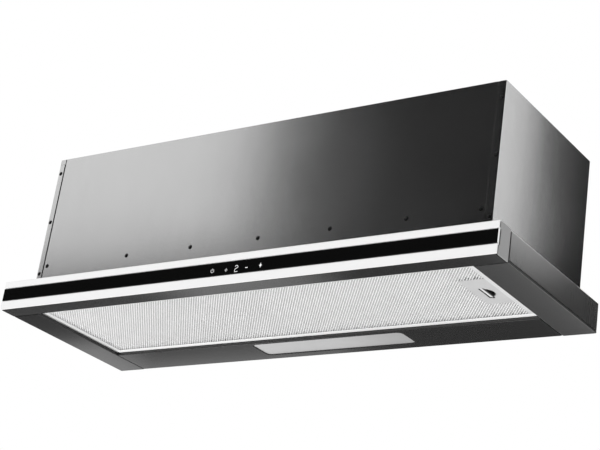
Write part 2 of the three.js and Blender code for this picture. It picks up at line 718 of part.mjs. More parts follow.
function drawerUnderside() {
  const mid = SHEET / 2;
  const front = FRONT + PROFILE_WALL + SEAM + mid;
  const line = [[front, 11.5], [front, mid], [BOX_REAR - mid, mid], [BOX_REAR - mid, COVER_LIP - SEAM]];
  return folded("x", line, -TRIM, TRIM, SHEET, 1);
}

function drawerCover() {
  const mid = SHEET / 2;
  const top = STRIP_HEIGHT - mid;
  const line = [[FRONT + 12 + SEAM, top], [BOX_REAR - mid, top], [BOX_REAR - mid, COVER_LIP]];
  return folded("x", line, -TRIM, TRIM, SHEET, 1);
}

const FILTER_TOP = FILTER_RECESS + FILTER_THICK;
const ARM_SHELF = FILTER_TOP + SEAM; // underside of the arm's ledge above the filter
const ARM_LIP = RAIL_INNER - 0.7 - SHEET; // inner face of the lip beside the filter
const FILTER_FRONT = BOX_REAR + 0.4;
const FILTER_REAR = LAMP_PANEL_FRONT - 1.1;
const ARM_REAR = FILTER_REAR + ARM_TAIL;
const FILTER_LEFT = -(ARM_LIP - FILTER_SWING_ROOM);
const FILTER_RIGHT = ARM_LIP - 1.1;
const CATCH_LOW = 7; // windows in the arms' lips, for hooks and bolt
const CATCH_HIGH = 12.4;
const CATCH_PLATE = 1.5;
const FILTER_MIDDLE = (FILTER_FRONT + FILTER_REAR) / 2;
const LATCH_MIDDLE = FILTER_MIDDLE + LATCH_OFFSET;
const TAB_WIDTH = 15; // arm's tab against the back of the box

// Arm: a wall beside the slide, a ledge above the filter's edge and a lip beside it. The lip's windows hold
// the filter's two hooks on the left and the latch bolt on the right.
function drawerArm(windows) {
  const wall = ARM_OUTER - SHEET / 2;
  const shelf = ARM_SHELF + SHEET / 2;
  const lip = ARM_LIP + SHEET / 2;
  const line = [[wall, DRAWER_TOP], [wall, shelf], [lip, shelf], [lip, FILTER_RECESS + 0.2]];
  const arm = folded("y", line, ARM_FRONT, ARM_REAR, SHEET, 1);
  const tab = block(
    [ARM_OUTER - TAB_WIDTH, ARM_FRONT, shelf + 1],
    [ARM_OUTER - SHEET / 2, ARM_FRONT + SHEET, DRAWER_TOP - 1],
  );
  const behindFilter = block([0, FILTER_REAR, 0], [lip + 0.7, REAR, ARM_SHELF - 0.01]);
  const openings = windows.map(([y, width]) => {
    const reach = width / 2 + 0.8;
    return block([lip - SHEET, y - reach, CATCH_LOW], [lip + SHEET, y + reach, CATCH_HIGH]);
  });
  return cut(join(arm, tab), behindFilter, ...openings);
}

const HOOKS = [-HOOK_SPACING / 2, HOOK_SPACING / 2].map((y) => FILTER_MIDDLE + y);
const HOOK_WIDTH = 16;

// Rear bar: stands between the arms behind the filter, with a ledge above the filter's rear edge.
function drawerRearBar() {
  const end = ARM_OUTER - SHEET - SEAM;
  const ledgeEnd = ARM_LIP - 1;
  const low = ARM_SHELF + SHEET + SEAM;
  const upright = block([-end, FILTER_REAR, low], [end, FILTER_REAR + SHEET, REAR_BAR_TOP]);
  const ledge = block(
    [-ledgeEnd, FILTER_REAR - TAB_WIDTH, ARM_SHELF],
    [ledgeEnd, FILTER_REAR + SHEET, ARM_SHELF + SHEET],
  );
  const web = block([-ledgeEnd, FILTER_REAR, ARM_SHELF], [ledgeEnd, FILTER_REAR + SHEET, low + 1]);
  return join(upright, web, ledge);
}

// ---------- Grease filter and latch ----------

const POCKET = {
  left: FILTER_RIGHT - POCKET_FROM_END - POCKET_RADIUS,
  right: FILTER_RIGHT - POCKET_FROM_END,
  front: LATCH_MIDDLE - POCKET_RADIUS,
  rear: LATCH_MIDDLE + POCKET_RADIUS,
};
const BOLT_LOW = CATCH_LOW + SEAM;
const BOLT_TIP = ARM_LIP + SHEET + 0.4;

// A ring of thin channel that opens inward.
function channelRing(low, high, border, thickness) {
  const inset = (corner, by, sign) => [corner[0] + sign * by, corner[1] + sign * by];
  const [lowX, lowY] = inset(low, thickness, 1);
  const [highX, highY] = inset(high, thickness, -1);
  const [openLowX, openLowY] = inset(low, border, 1);
  const [openHighX, openHighY] = inset(high, border, -1);
  return cut(
    block(low, high),
    block([lowX, lowY, low[2] + thickness], [highX, highY, high[2] - thickness]),
    block([openLowX, openLowY, low[2] - 1], [openHighX, openHighY, high[2] + 1]),
  );
}

function filterFrame() {
  const ring = channelRing(
    [FILTER_LEFT, FILTER_FRONT, FILTER_RECESS],
    [FILTER_RIGHT, FILTER_REAR, FILTER_TOP],
    FILTER_BORDER,
    FILTER_SHEET,
  );
  const hooks = HOOKS.map((y) =>
    block(
      [-ARM_LIP - SHEET - 0.5, y - HOOK_WIDTH / 2, BOLT_LOW],
      [FILTER_LEFT + FILTER_SHEET / 2, y + HOOK_WIDTH / 2, BOLT_LOW + CATCH_PLATE],
    ),
  );
  const slot = block(
    [FILTER_RIGHT - 3, LATCH_MIDDLE - BOLT_WIDTH / 2 - 1, BOLT_LOW - 0.6],
    [FILTER_RIGHT + 1, LATCH_MIDDLE + BOLT_WIDTH / 2 + 1, BOLT_LOW + CATCH_PLATE + 0.6],
  );
  return cut(join(ring, ...hooks), slot);
}

// A pleated pad: a zigzag of even thickness, extruded from front to rear.
function pleated(left, right, front, rear, low, high, pitch) {
  const pleats = Math.round((right - left) / pitch);
  const thickness = 1.2;
  const line = [];
  for (let i = 0; i <= 2 * pleats; i += 1) {
    const x = left + thickness + ((right - left - 2 * thickness) * i) / (2 * pleats);
    line.push([x, i % 2 ? high - thickness : low + thickness]);
  }
  return extrude("y", ribbon(line, thickness), front, rear);
}

function filterMesh() {
  const edge = FILTER_SHEET + SEAM;
  const pad = pleated(
    FILTER_LEFT + edge,
    FILTER_RIGHT - edge,
    FILTER_FRONT + edge,
    FILTER_REAR - edge,
    FILTER_RECESS + edge,
    FILTER_TOP - edge,
    MESH_PITCH,
  );
  const latchRoom = block(
    [PLATE_LEFT - 1, FILTER_MIDDLE - LATCH_PLATE_DEPTH / 2 - 1, 0],
    [FILTER_RIGHT + 1, FILTER_MIDDLE + LATCH_PLATE_DEPTH / 2 + 1, FILTER_TOP + 1],
  );
  return cut(pad, latchRoom);
}

// Plate with a finger pocket. The box above it guides the latch and holds the latch's spring.
const PLATE_LOW = FILTER_RECESS + FILTER_SHEET + SEAM;
const PLATE_HIGH = PLATE_LOW + FILTER_SHEET;
const BOX_TOP = FILTER_TOP - 0.7;
const BOX = {
  left: POCKET.left - SPRING_ROOM - LATCH_TRAVEL,
  right: POCKET.right + 6.5,
  front: POCKET.front - LATCH_ARM - 2,
  rear: POCKET.rear + LATCH_ARM + 2,
};
const PLATE_LEFT = BOX.left - 1.5;
const PLATE_RIGHT = FILTER_RIGHT - FILTER_BORDER + 0.5;

// The pocket's outline in (X, Y), moved inward by an inset: a half disc with blunt corners.
const DISC_SIDES = 24;
function halfDisc(inset) {
  const radius = POCKET_RADIUS - inset;
  const corner = radius - POCKET_BLUNT;
  const points = [[POCKET.left + inset, LATCH_MIDDLE - corner]];
  for (let i = 1; i < DISC_SIDES / 2; i += 1) {
    const angle = (2 * Math.PI * i) / DISC_SIDES - Math.PI / 2;
    points.push([POCKET.left + radius * Math.cos(angle), LATCH_MIDDLE + radius * Math.sin(angle)]);
  }
  return [...points, [POCKET.left + inset, LATCH_MIDDLE + corner]];
}

// An outline in (X, Y) with its four corners cut off.
const chamfered = ({ left, right, front, rear }, corner) => [
  [left, front + corner],
  [left + corner, front],
  [right - corner, front],
  [right, front + corner],
  [right, rear - corner],
  [right - corner, rear],
  [left + corner, rear],
  [left, rear - corner],
];

function latchPlate() {
  const plate = block(
    [PLATE_LEFT, FILTER_MIDDLE - LATCH_PLATE_DEPTH / 2, PLATE_LOW],
    [PLATE_RIGHT, FILTER_MIDDLE + LATCH_PLATE_DEPTH / 2, PLATE_HIGH],
  );
  const box = block([BOX.left, BOX.front, PLATE_LOW], [BOX.right, BOX.rear, BOX_TOP]);
  const inside = block([BOX.left + 1, BOX.front + 1, PLATE_HIGH], [BOX.right - 1, BOX.rear - 1, BOX_TOP - 1]);
  const mouth = extrude("z", halfDisc(0), 0, PLATE_HIGH + 0.1);
  const slot = block(
    [BOX.right - 2, LATCH_MIDDLE - BOLT_WIDTH / 2 - 1, BOLT_LOW - 0.6],
    [BOX.right + 1, LATCH_MIDDLE + BOLT_WIDTH / 2 + 1, BOLT_LOW + CATCH_PLATE + 0.6],
  );
  // The pocket's rim leaves the plate level and gets steeper, up to the box's ceiling.
  const middle = PLATE_LOW + FILTER_SHEET / 2;
  const depth = BOX_TOP - 0.5 - middle;
  const line = [0, 0.4, 0.6, 0.8, 1].map((share) => [
    POCKET_RADIUS - DISH_RUN * share,
    middle + depth * share ** 3,
  ]);
  const profile = ribbon([[POCKET_RADIUS + 1, middle], ...line], FILTER_SHEET);
  const dish = revolve("z", profile, [POCKET.left, LATCH_MIDDLE], DISC_SIDES);
  const barSide = block(
    [POCKET.left - 2 * POCKET_RADIUS, BOX.front, 0],
    [POCKET.left + BAR_ROOM + BAR + 0.5, BOX.rear, BOX_TOP + 1],
  );
  return join(cut(join(plate, box), inside, mouth, slot), cut(dish, barSide));
}

// The latch is a frame round the pocket: a bar to pull on, a bridge behind the bar, two arms and a bolt.
function filterLatch() {
  const left = POCKET.left + BAR_ROOM;
  const barTop = BOX_TOP - 1 - SEAM;
  const bar = extrude("z", halfDisc(BAR_ROOM), PLATE_HIGH + SEAM, barTop);
  const beyondBar = block([left + BAR, POCKET.front, 0], [POCKET.right, POCKET.rear, BOX_TOP]);
  const front = POCKET.front - LATCH_ARM;
  const rear = POCKET.rear + LATCH_ARM;
  const bridgeLeft = left + BAR - 3;
  const boltEnd = BOX.right - 1.5;
  const boltTop = BOLT_LOW + CATCH_PLATE;
  const bridge = block([bridgeLeft, front, BOLT_LOW], [left + BAR, rear, barTop]);
  const frame = block([bridgeLeft, front, BOLT_LOW], [boltEnd, rear, boltTop]);
  const dishPlace = block(
    [left, POCKET.front - 0.5, 0],
    [POCKET.right + 1.5, POCKET.rear + 0.5, barTop - CATCH_PLATE],
  );
  const side = BOLT_WIDTH / 2;
  const bolt = chamfered(
    { left: boltEnd - 3, right: BOLT_TIP, front: LATCH_MIDDLE - side, rear: LATCH_MIDDLE + side },
    2,
  );
  return join(
    cut(bar, beyondBar),
    cut(join(bridge, frame), dishPlace),
    extrude("z", bolt, BOLT_LOW, boltTop),
  );
}

// Compression spring between the box's end and the bar.
class Helix extends THREE.Curve {
  constructor(from, to, radius, turns, y, z) {
    super();
    Object.assign(this, { from, to, radius, turns, y, z });
  }

  getPoint(t, target = new THREE.Vector3()) {
    const angle = 2 * Math.PI * this.turns * t;
    return target.set(
      this.from + (this.to - this.from) * t,
      this.y + this.radius * Math.cos(angle),
      this.z + this.radius * Math.sin(angle),
    );
  }
}

// The least gap between a helix's turns, measured on points of its mid-line.
function turnGap(path, turns, wire) {
  const points = path.getPoints(24 * turns);
  const gaps = points.slice(0, -24).map((point, i) => {
    const nextTurn = points.slice(i + 18, i + 31);
    return Math.min(...nextTurn.map((other) => point.distanceTo(other)));
  });
  return Math.min(...gaps) - 2 * wire;
}

function latchSpring() {
  const wire = SPRING_WIRE;
  const from = BOX.left + 1 + SEAM + wire;
  const to = POCKET.left + BAR_ROOM - SEAM - wire;
  const middle = (PLATE_HIGH + BOX_TOP - 1) / 2;
  const path = new Helix(from, to, SPRING_RADIUS, SPRING_TURNS, LATCH_MIDDLE, middle);
  const section = Array.from({ length: 5 }, (_, i) => {
    const angle = (2 * Math.PI * i) / 5;
    return [wire * Math.cos(angle), wire * Math.sin(angle)];
  });
  console.log(`latch spring: least gap between turns ${turnGap(path, SPRING_TURNS, wire).toFixed(2)} mm`);
  const tube = new THREE.ExtrudeGeometry(polygon(section), { steps: 8 * SPRING_TURNS, extrudePath: path });
  return solid(tube);
}

// ---------- Fixed filter above the drawer ----------

const INNER_FILTER_ROOM = 3.2; // to the casing's walls
const INNER_FILTER = {
  low: [-BODY_INNER + INNER_FILTER_ROOM, INSIDE_FRONT + INNER_FILTER_ROOM, SHELF + SEAM],
  high: [BODY_INNER - INNER_FILTER_ROOM, INSIDE_REAR - INNER_FILTER_ROOM, INNER_FILTER_TOP],
};

const innerFilterFrame = () =>
  channelRing(INNER_FILTER.low, INNER_FILTER.high, INNER_FILTER_BORDER, FILTER_SHEET);

function innerFilterMesh() {
  const edge = FILTER_SHEET + SEAM;
  const { low, high } = INNER_FILTER;
  const [left, front, bottom] = low.map((value) => value + edge);
  const [right, rear, top] = high.map((value) => value - edge);
  return pleated(left, right, front, rear, bottom, top, INNER_MESH_PITCH);
}

// ---------- Blower ----------

const SCROLL_TOP = UNDER_TOP - SEAM;
const SCROLL_SIDE = WHEEL_WIDTH / 2 + SCROLL_SIDE_GAP + SCROLL_WALL;
const SCROLL_RIM = 8; // round the throat, under the top panel
const SPIRAL_STEPS = 26;
const BELL_SIDES = 24;

// The scroll's outline in (Y, Z). The spiral starts at the cut-off below the throat's front wall, passes the
// front and the bottom, and runs up into the throat's rear wall. "grow" moves the outline outward.
function scrollOutline(grow, top) {
  const throatFront = OUTLET_RADIUS - THROAT - grow;
  const start = Math.acos(throatFront / (CUT_OFF_RADIUS + grow));
  const points = [[FAN_Y + throatFront, top]];
  for (let i = 0; i <= SPIRAL_STEPS; i += 1) {
    const angle = start + ((2 * Math.PI - start) * i) / SPIRAL_STEPS;
    const radius = Math.max(spiralRadius(angle), CUT_OFF_RADIUS) + grow;
    points.push([FAN_Y + radius * Math.cos(angle), FAN_Z + radius * Math.sin(angle)]);
  }
  points.push([FAN_Y + OUTLET_RADIUS + grow, top]);
  return points;
}

// One half of the scroll: spiral wall, side plate with a flared inlet, and a rim under the top panel.
function scrollHalf() {
  const split = SEAM / 2;
  const outer = extrude("x", scrollOutline(SCROLL_WALL, SCROLL_TOP), split, SCROLL_SIDE);
  const inner = extrude("x", scrollOutline(0, SCROLL_TOP + 1), split - 1, SCROLL_SIDE - SCROLL_WALL);
  const inlet = rod("x", INLET_RADIUS + 6, 0, SCROLL_SIDE + 1, [FAN_Y, FAN_Z], BELL_SIDES);
  const side = SCROLL_SIDE - SCROLL_WALL / 2 + 0.4;
  const flare = [
    [INLET_RADIUS + 0.5, side - 7],
    [INLET_RADIUS + 1, side - 3],
    [INLET_RADIUS + 3.5, side - 0.6],
    [INLET_RADIUS + 9, side + 0.3],
  ];
  const bell = revolve("x", ribbon(flare, SCROLL_WALL), [FAN_Y, FAN_Z], BELL_SIDES);
  const throatRear = FAN_Y + OUTLET_RADIUS;
  const rim = block(
    [split, throatRear - THROAT - SCROLL_RIM, SCROLL_TOP - SCROLL_WALL],
    [SCROLL_SIDE + SCROLL_RIM, throatRear + SCROLL_RIM, SCROLL_TOP],
  );
  return join(cut(join(outer, rim), inner, inlet), bell);
}

// Wheel: a middle disc on a hub, end rings, and forward-curved blades between them.
const WHEEL_RING = 2.5;
const HUB_RADIUS = 11;

function blade(index) {
  const line = [0, 1, 2, 3].map((i) => {
    const share = i / 3;
    const radius = WHEEL_BORE + (WHEEL_RADIUS - 0.4 - WHEEL_BORE) * share;
    const lean = THREE.MathUtils.degToRad(1.5 * share + 8.5 * share * share);
    const angle = (2 * Math.PI * index) / BLADES + lean;
    return [FAN_Y + radius * Math.cos(angle), FAN_Z + radius * Math.sin(angle)];
  });
  return extrude("x", ribbon(line, 1.2), -WHEEL_WIDTH / 2 + 0.5, WHEEL_WIDTH / 2 - 0.5);
}

function impeller() {
  const blades = Array.from({ length: BLADES }, (_, index) => blade(index));
  const bore = SHAFT_RADIUS + SEAM;
  const discEdge = WHEEL_RADIUS - 1.5;
  const discProfile = [
    [bore, -6],
    [HUB_RADIUS, -6],
    [HUB_RADIUS, -1],
    [discEdge, 1],
    [discEdge, 2.6],
    [HUB_RADIUS + 3, 2.6],
    [HUB_RADIUS, 10],
    [bore, 10],
  ];
  const ringProfile = (x) => [
    [WHEEL_BORE + 6, x],
    [WHEEL_RADIUS, x],
    [WHEEL_RADIUS, x + WHEEL_RING],
    [WHEEL_BORE + 6, x + WHEEL_RING],
  ];
  const profiles = [discProfile, ringProfile(-WHEEL_WIDTH / 2), ringProfile(WHEEL_WIDTH / 2 - WHEEL_RING)];
  const rounds = profiles.map((profile) => revolve("x", profile, [FAN_Y, FAN_Z], BLADES));
  return join(wasm.Manifold.union(blades), ...rounds);
}

const MOTOR_REAR = -SCROLL_SIDE - 0.7;
const MOTOR_FRONT = -12;

function motor() {
  const bore = SHAFT_RADIUS + SEAM;
  return revolve(
    "x",
    [
      [0, MOTOR_REAR],
      [MOTOR_RADIUS - 12, MOTOR_REAR],
      [MOTOR_RADIUS - 3, MOTOR_REAR + 5],
      [MOTOR_RADIUS - 3, MOTOR_REAR + 14],
      [MOTOR_RADIUS, MOTOR_REAR + 14],
      [MOTOR_RADIUS, MOTOR_FRONT - 18],
      [MOTOR_RADIUS - 3, MOTOR_FRONT - 18],
      [MOTOR_RADIUS - 8, MOTOR_FRONT - 6],
      [14, MOTOR_FRONT - 4],
      [11, MOTOR_FRONT],
      [bore, MOTOR_FRONT],
      [bore, MOTOR_REAR + 8],
      [0, MOTOR_REAR + 8],
    ],
    [FAN_Y, FAN_Z],
    22,
  );
}

const motorShaft = () => rod("x", SHAFT_RADIUS, MOTOR_REAR + 8 + SEAM, 13, [FAN_Y, FAN_Z], 12);

// Spider that carries the motor on the scroll's left side.
function motorBracket() {
  const to = MOTOR_REAR - SEAM;
  const from = to - 2;
  const ringOf = (r0, r1) => [[r0, from], [r1, from], [r1, to], [r0, to]];
  const centreRadius = MOTOR_RADIUS - 10;
  const rimRadius = INLET_RADIUS + 5;
  const centre = revolve("x", ringOf(centreRadius / 2, centreRadius), [FAN_Y, FAN_Z], 18);
  const rim = revolve("x", ringOf(rimRadius, rimRadius + 8), [FAN_Y, FAN_Z], BELL_SIDES);
  const arms = [90, 210, 330].map((degrees) => {
    const angle = THREE.MathUtils.degToRad(degrees);
    const along = [Math.cos(angle), Math.sin(angle)];
    const point = (radius, side) => [
      FAN_Y + along[0] * radius - along[1] * side,
      FAN_Z + along[1] * radius + along[0] * side,
    ];
    const corners = [[centreRadius - 3, -9], [rimRadius + 3, -6], [rimRadius + 3, 6], [centreRadius - 3, 9]];
    return extrude("x", corners.map(([radius, side]) => point(radius, side)), from, to);
  });
  return join(centre, rim, ...arms);
}

// Run capacitor with its clip, under the top panel beside the scroll.
function capacitor() {
  const radius = 15;
  const length = 56;
  const stud = 5;
  const y = OUTLET_Y - 30;
  const z = SCROLL_TOP - radius - 3;
  const from = SCROLL_SIDE + 20;
  const to = from + length;
  const profile = [
    [0, from],
    [radius - 1, from],
    [radius, from + 1.5],
    [radius, to - 2],
    [radius - 2, to],
    [stud, to],
    [stud, to + 6],
    [0, to + 6],
  ];
  const can = revolve("x", profile, [y, z], 20);
  const clip = block([from + 20, y - 9, z + radius - 3], [from + 34, y + 9, SCROLL_TOP]);
  return join(can, clip);
}

// ---------- Outlet ----------

const COLLAR_BASE = BODY_HEIGHT + SEAM;
const COLLAR_TOP = BODY_HEIGHT + COLLAR_HEIGHT;
const COLLAR_EDGE = COLLAR_RADIUS + COLLAR_FLANGE;
const PIN_Z = COLLAR_BASE + 5.4;
const LEDGE = COLLAR_BASE + 2.8; // top of the stop under the flaps

const alongPin = (radius, reach, sides) =>
  rod("y", radius, OUTLET_Y - reach, OUTLET_Y + reach, [0, PIN_Z], sides);

function outletCollar() {
  const profile = [
    [COLLAR_BORE - COLLAR_STOP, COLLAR_BASE],
    [COLLAR_EDGE, COLLAR_BASE],
    [COLLAR_EDGE, COLLAR_BASE + 2],
    [COLLAR_RADIUS + 1.5, COLLAR_BASE + 2.5],
    [COLLAR_RADIUS, COLLAR_BASE + 4],
    [COLLAR_RADIUS, COLLAR_TOP - 3],
    [COLLAR_RADIUS - 0.8, COLLAR_TOP],
    [COLLAR_BORE, COLLAR_TOP],
    [COLLAR_BORE, LEDGE],
    [COLLAR_BORE - COLLAR_STOP, LEDGE - 0.8],
  ];
  const ring = revolve("z", profile, [0, OUTLET_Y], 32);
  const pinHole = alongPin(PIN_RADIUS + SEAM, COLLAR_EDGE, 8);
  const holes = [45, 135, 225, 315].map((degrees) => {
    const angle = THREE.MathUtils.degToRad(degrees);
    const circle = COLLAR_EDGE - 5;
    const middle = [Math.cos(angle) * circle, OUTLET_Y + Math.sin(angle) * circle];
    return rod("z", SCREW_HOLE, COLLAR_BASE - 1, COLLAR_BASE + 3, middle, 8);
  });
  return cut(ring, pinHole, ...holes);
}

const flapPin = () => alongPin(PIN_RADIUS, COLLAR_RADIUS - SEAM, 12);

// Half-disc flap with two knuckles on the pin. The other flap's knuckles stand between them.
const KNUCKLE = 3;
function flap(knuckles) {
  const radius = COLLAR_BORE - 1;
  const low = LEDGE + SEAM;
  const points = [];
  for (let i = 0; i <= 18; i += 1) {
    const angle = -Math.PI / 2 + (Math.PI * i) / 18;
    points.push([Math.max(radius * Math.cos(angle), KNUCKLE + 0.5), OUTLET_Y + radius * Math.sin(angle)]);
  }
  const disc = extrude("z", points, low, low + FLAP_THICK);
  const barrels = knuckles.map(([from, to]) =>
    join(
      rod("y", KNUCKLE, OUTLET_Y + from, OUTLET_Y + to, [0, PIN_Z], 12),
      block([0.5, OUTLET_Y + from, low], [KNUCKLE + 1, OUTLET_Y + to, low + FLAP_THICK]),
    ),
  );
  return cut(join(disc, ...barrels), alongPin(PIN_RADIUS + SEAM, COLLAR_EDGE, 12));
}

// ---------- Electrical pieces ----------

const SIDE_ROOM = 20; // casing's side to the control box
const CONTROL_BOX = [110, 110, 62];

// Control box, hung from the top panel: a body with a lid's edge round it, ribs and a cable entry.
function controlBox() {
  const [length, depth, height] = CONTROL_BOX;
  const high = [-BODY + SIDE_ROOM + length, INSIDE_REAR - 25, SCROLL_TOP];
  const low = [high[0] - length, high[1] - depth, high[2] - height];
  const edge = 2;
  const lid = block(
    [low[0] - edge, low[1] - edge, low[2] + 16],
    [high[0] + edge, high[1] + edge, low[2] + 20],
  );
  const ribs = [];
  for (let y = low[1] + 15; y < high[1] - 10; y += 20) {
    ribs.push(block([high[0] - 1, y, low[2] + 24], [high[0] + edge, y + 4, high[2] - 4]));
  }
  const entry = block([high[0] - 12, low[1] + 40, low[2] - 1], [high[0] + 3, low[1] + 70, low[2] + 8]);
  return cut(join(block(low, high), lid, ...ribs), entry);
}

function ledDriver() {
  const length = 84;
  const depth = 36;
  const height = 24;
  const ear = 10;
  const x = -BODY + SIDE_ROOM + CONTROL_BOX[0] + 2 * ear;
  const y = INSIDE_REAR - 60;
  const box = block([x, y, SCROLL_TOP - height], [x + length, y + depth, SCROLL_TOP]);
  const ears = block([x - ear, y + 10, SCROLL_TOP - 3], [x + length + ear, y + 26, SCROLL_TOP]);
  const notches = [x - 1, x + length - ear + 1].map((from) =>
    block([from, y - 1, SCROLL_TOP - height - 1], [from + ear, y + depth + 1, SCROLL_TOP - 15]),
  );
  return cut(join(box, ears), ...notches);
}

// Gland through the top panel. Its bore is where the supply cable goes in.
function cableGland() {
  const under = UNDER_TOP - SEAM;
  const over = BODY_HEIGHT + SEAM;
  const body = revolve(
    "z",
    [
      [0, under - 6],
      [GLAND_RADIUS - 0.5, under - 6],
      [GLAND_RADIUS - 0.5, over + 6],
      [GLAND_RADIUS + 2.5, over + 6],
      [GLAND_RADIUS + 2.5, over + 11],
      [GLAND_RADIUS - 1, over + 17],
      [0, over + 17],
    ],
    GLAND,
    12,
  );
  const nut = rod("z", GLAND_RADIUS + 4, under - 4, under, GLAND, 6);
  const hex = rod("z", GLAND_RADIUS + 4.5, over, over + 6, GLAND, 6);
  const bore = rod("z", GLAND_BORE, under - 8, over + 20, GLAND, 12);
  return cut(join(body, nut, hex), bore);
}

// Reed sensor under the front rail's shelf, and the magnet on the drawer that closes it.
const SENSOR_X = 200;
const SENSOR_TOP = SHELF - SHEET - SEAM;
function drawerSensor() {
  const low = INSIDE_FRONT + SEAM + 3.5;
  return block([SENSOR_X, low, SENSOR_TOP - 8], [SENSOR_X + 30, low + 9, SENSOR_TOP]);
}

function drawerMagnet() {
  const top = SENSOR_TOP - 1;
  const rear = ARM_FRONT + 3.2;
  const outline = [[ARM_FRONT, top - 9], [rear, top - 8], [rear, top - 1], [ARM_FRONT, top]];
  return extrude("x", outline, SENSOR_X + 5, SENSOR_X + 25);
}

// ---------- The hood ----------

addPair("side_panel", sidePanel(), STEEL);
add("front_panel", frontPanel(), STEEL);
add("rear_panel", rearPanel(), ZINC);
add("top_panel", topPanel(), ZINC);
add("front_rail", frontRail(), ZINC);
add("rear_rail", crossRail(INSIDE_REAR, -1), ZINC);

addPair("lower_side", lowerSide(), STEEL);
addPair("bottom_rail", bottomRail(), CHARCOAL);
add("lamp_panel", lampPanel(), CHARCOAL);
add("lamp_lens", lampLens(), FROSTED);
add("lamp_housing", lampHousing(), ZINC);
add("led_board", ledBoard(), BOARD);

addPair("slide_outer", slideOuter(), ZINC);
addPair("slide_inner", slideInner(), ZINC);
addPair("ball_cage", ballCage(), ZINC);

add("front_profile", frontProfile(), STRIP);
add("control_glass", controlGlass(), GLASS_BLACK);
add("touch_board", touchBoard(), BOARD);
addPair("end_cap", endCap(), GREY);
add("drawer_underside", drawerUnderside(), CHARCOAL);
add("drawer_cover", drawerCover(), CHARCOAL);
add("drawer_arm_right", drawerArm([[LATCH_MIDDLE, BOLT_WIDTH]]), ZINC);
addMirrored("drawer_arm_left", drawerArm(HOOKS.map((y) => [y, HOOK_WIDTH])), ZINC);
add("drawer_rear_bar", drawerRearBar(), ZINC);
add("drawer_magnet", drawerMagnet(), BLACK);

add("filter_frame", filterFrame(), ALUMINIUM);
add("filter_mesh", filterMesh(), ALUMINIUM);
add("latch_plate", latchPlate(), ALUMINIUM);
add("filter_latch", filterLatch(), ALUMINIUM);
add("latch_spring", latchSpring(), ZINC);

add("inner_filter_frame", innerFilterFrame(), ALUMINIUM);
add("inner_filter_mesh", innerFilterMesh(), ALUMINIUM);

addPair("scroll_housing", scrollHalf(), BLACK);
add("impeller", impeller(), BLACK);
add("motor", motor(), ZINC);
add("motor_shaft", motorShaft(), STEEL);
add("motor_bracket", motorBracket(), ZINC);
add("capacitor", capacitor(), GREY);

add("outlet_collar", outletCollar(), BLACK);
add("flap_pin", flapPin(), STEEL);
add("flap_right", flap([[-58, -32], [4, 30]]), BLACK);
addMirrored("flap_left", flap([[-30, 2], [32, 58]]), BLACK);

add("control_box", controlBox(), BLACK);
add("led_driver", ledDriver(), GREY);
add("cable_gland", cableGland(), BLACK);
add("drawer_sensor", drawerSensor(), BLACK);

export default hood;
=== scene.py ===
# %% [markdown]
# # A pull-out range hood, from CAD part to studio picture
#
# The hood hangs in a wall cabinet above a hob, and is photographed from below on white. Its solids come
# from CAD as a fixed frame, in metres, with +Z up, the front strip towards -Y and the underside at z = 0.
# This file adds what CAD leaves out: soft edges, metals, the filter's open mesh, screws, the lit symbols,
# black foam seals that stand for the shade in the seams, lamps and a camera.

import json
import math

import bmesh
import bpy
from mathutils import Matrix, Vector


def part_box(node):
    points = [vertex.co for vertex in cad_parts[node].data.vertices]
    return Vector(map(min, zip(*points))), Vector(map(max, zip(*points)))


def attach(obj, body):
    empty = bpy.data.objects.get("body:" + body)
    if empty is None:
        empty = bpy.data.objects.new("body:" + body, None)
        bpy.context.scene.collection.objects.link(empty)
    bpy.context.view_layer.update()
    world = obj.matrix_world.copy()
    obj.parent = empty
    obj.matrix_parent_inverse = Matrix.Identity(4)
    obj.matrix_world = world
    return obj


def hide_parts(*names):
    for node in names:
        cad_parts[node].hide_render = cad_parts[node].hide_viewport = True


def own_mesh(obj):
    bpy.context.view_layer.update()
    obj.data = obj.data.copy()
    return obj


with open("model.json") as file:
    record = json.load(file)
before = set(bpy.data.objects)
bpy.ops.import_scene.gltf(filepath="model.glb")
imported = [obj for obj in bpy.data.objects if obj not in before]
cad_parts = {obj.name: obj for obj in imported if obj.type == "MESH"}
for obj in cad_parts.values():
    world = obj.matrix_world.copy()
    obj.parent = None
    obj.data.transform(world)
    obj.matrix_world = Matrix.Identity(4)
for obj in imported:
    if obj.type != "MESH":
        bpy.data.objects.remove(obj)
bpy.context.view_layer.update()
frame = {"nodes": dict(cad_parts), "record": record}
nodes = frame["nodes"]

# %% [markdown]
# ## Camera
#
# The camera stands low at the front right and looks up. Its place and turn were solved from the long
# edges of the hood, so the strip, the casing and the filter fall where the photograph has them. Its three
# axes are written out, because a matrix is plainer here than three angles.

# %% Camera
def added(name, data):
    """A new object in the scene, at the origin."""
    piece = bpy.data.objects.new(name, data)
    bpy.context.scene.collection.objects.link(piece)
    return piece


STAND = (1.42311, -1.8376, -0.79793)
camera_data = bpy.data.cameras.new("camera")
camera_data.lens, camera_data.sensor_width = 97.1, 36  # millimetres
camera = added("camera", camera_data)
rightwards = Vector((0.81833, 0.55775, 0.13875))
upwards = Vector((0.11089, -0.39008, 0.91408))
backwards = rightwards.cross(upwards).normalized()
upwards = backwards.cross(rightwards).normalized()
axes = Matrix((rightwards.normalized(), upwards, backwards))
camera.matrix_world = Matrix.Translation(STAND) @ axes.transposed().to_4x4()
bpy.context.scene.camera = camera
print("camera looks along", [round(-v, 3) for v in backwards])

# %% [markdown]
# ## A small language for node trees
#
# A finish is a formula: noise stretched along the brushing, plus a little roughness where the noise is
# high. `Value` wraps a number socket, so such a formula is written with + and *, and each operation adds
# its Math node. `Tree.add` makes every other node: settings first, then the values or links of its
# sockets.

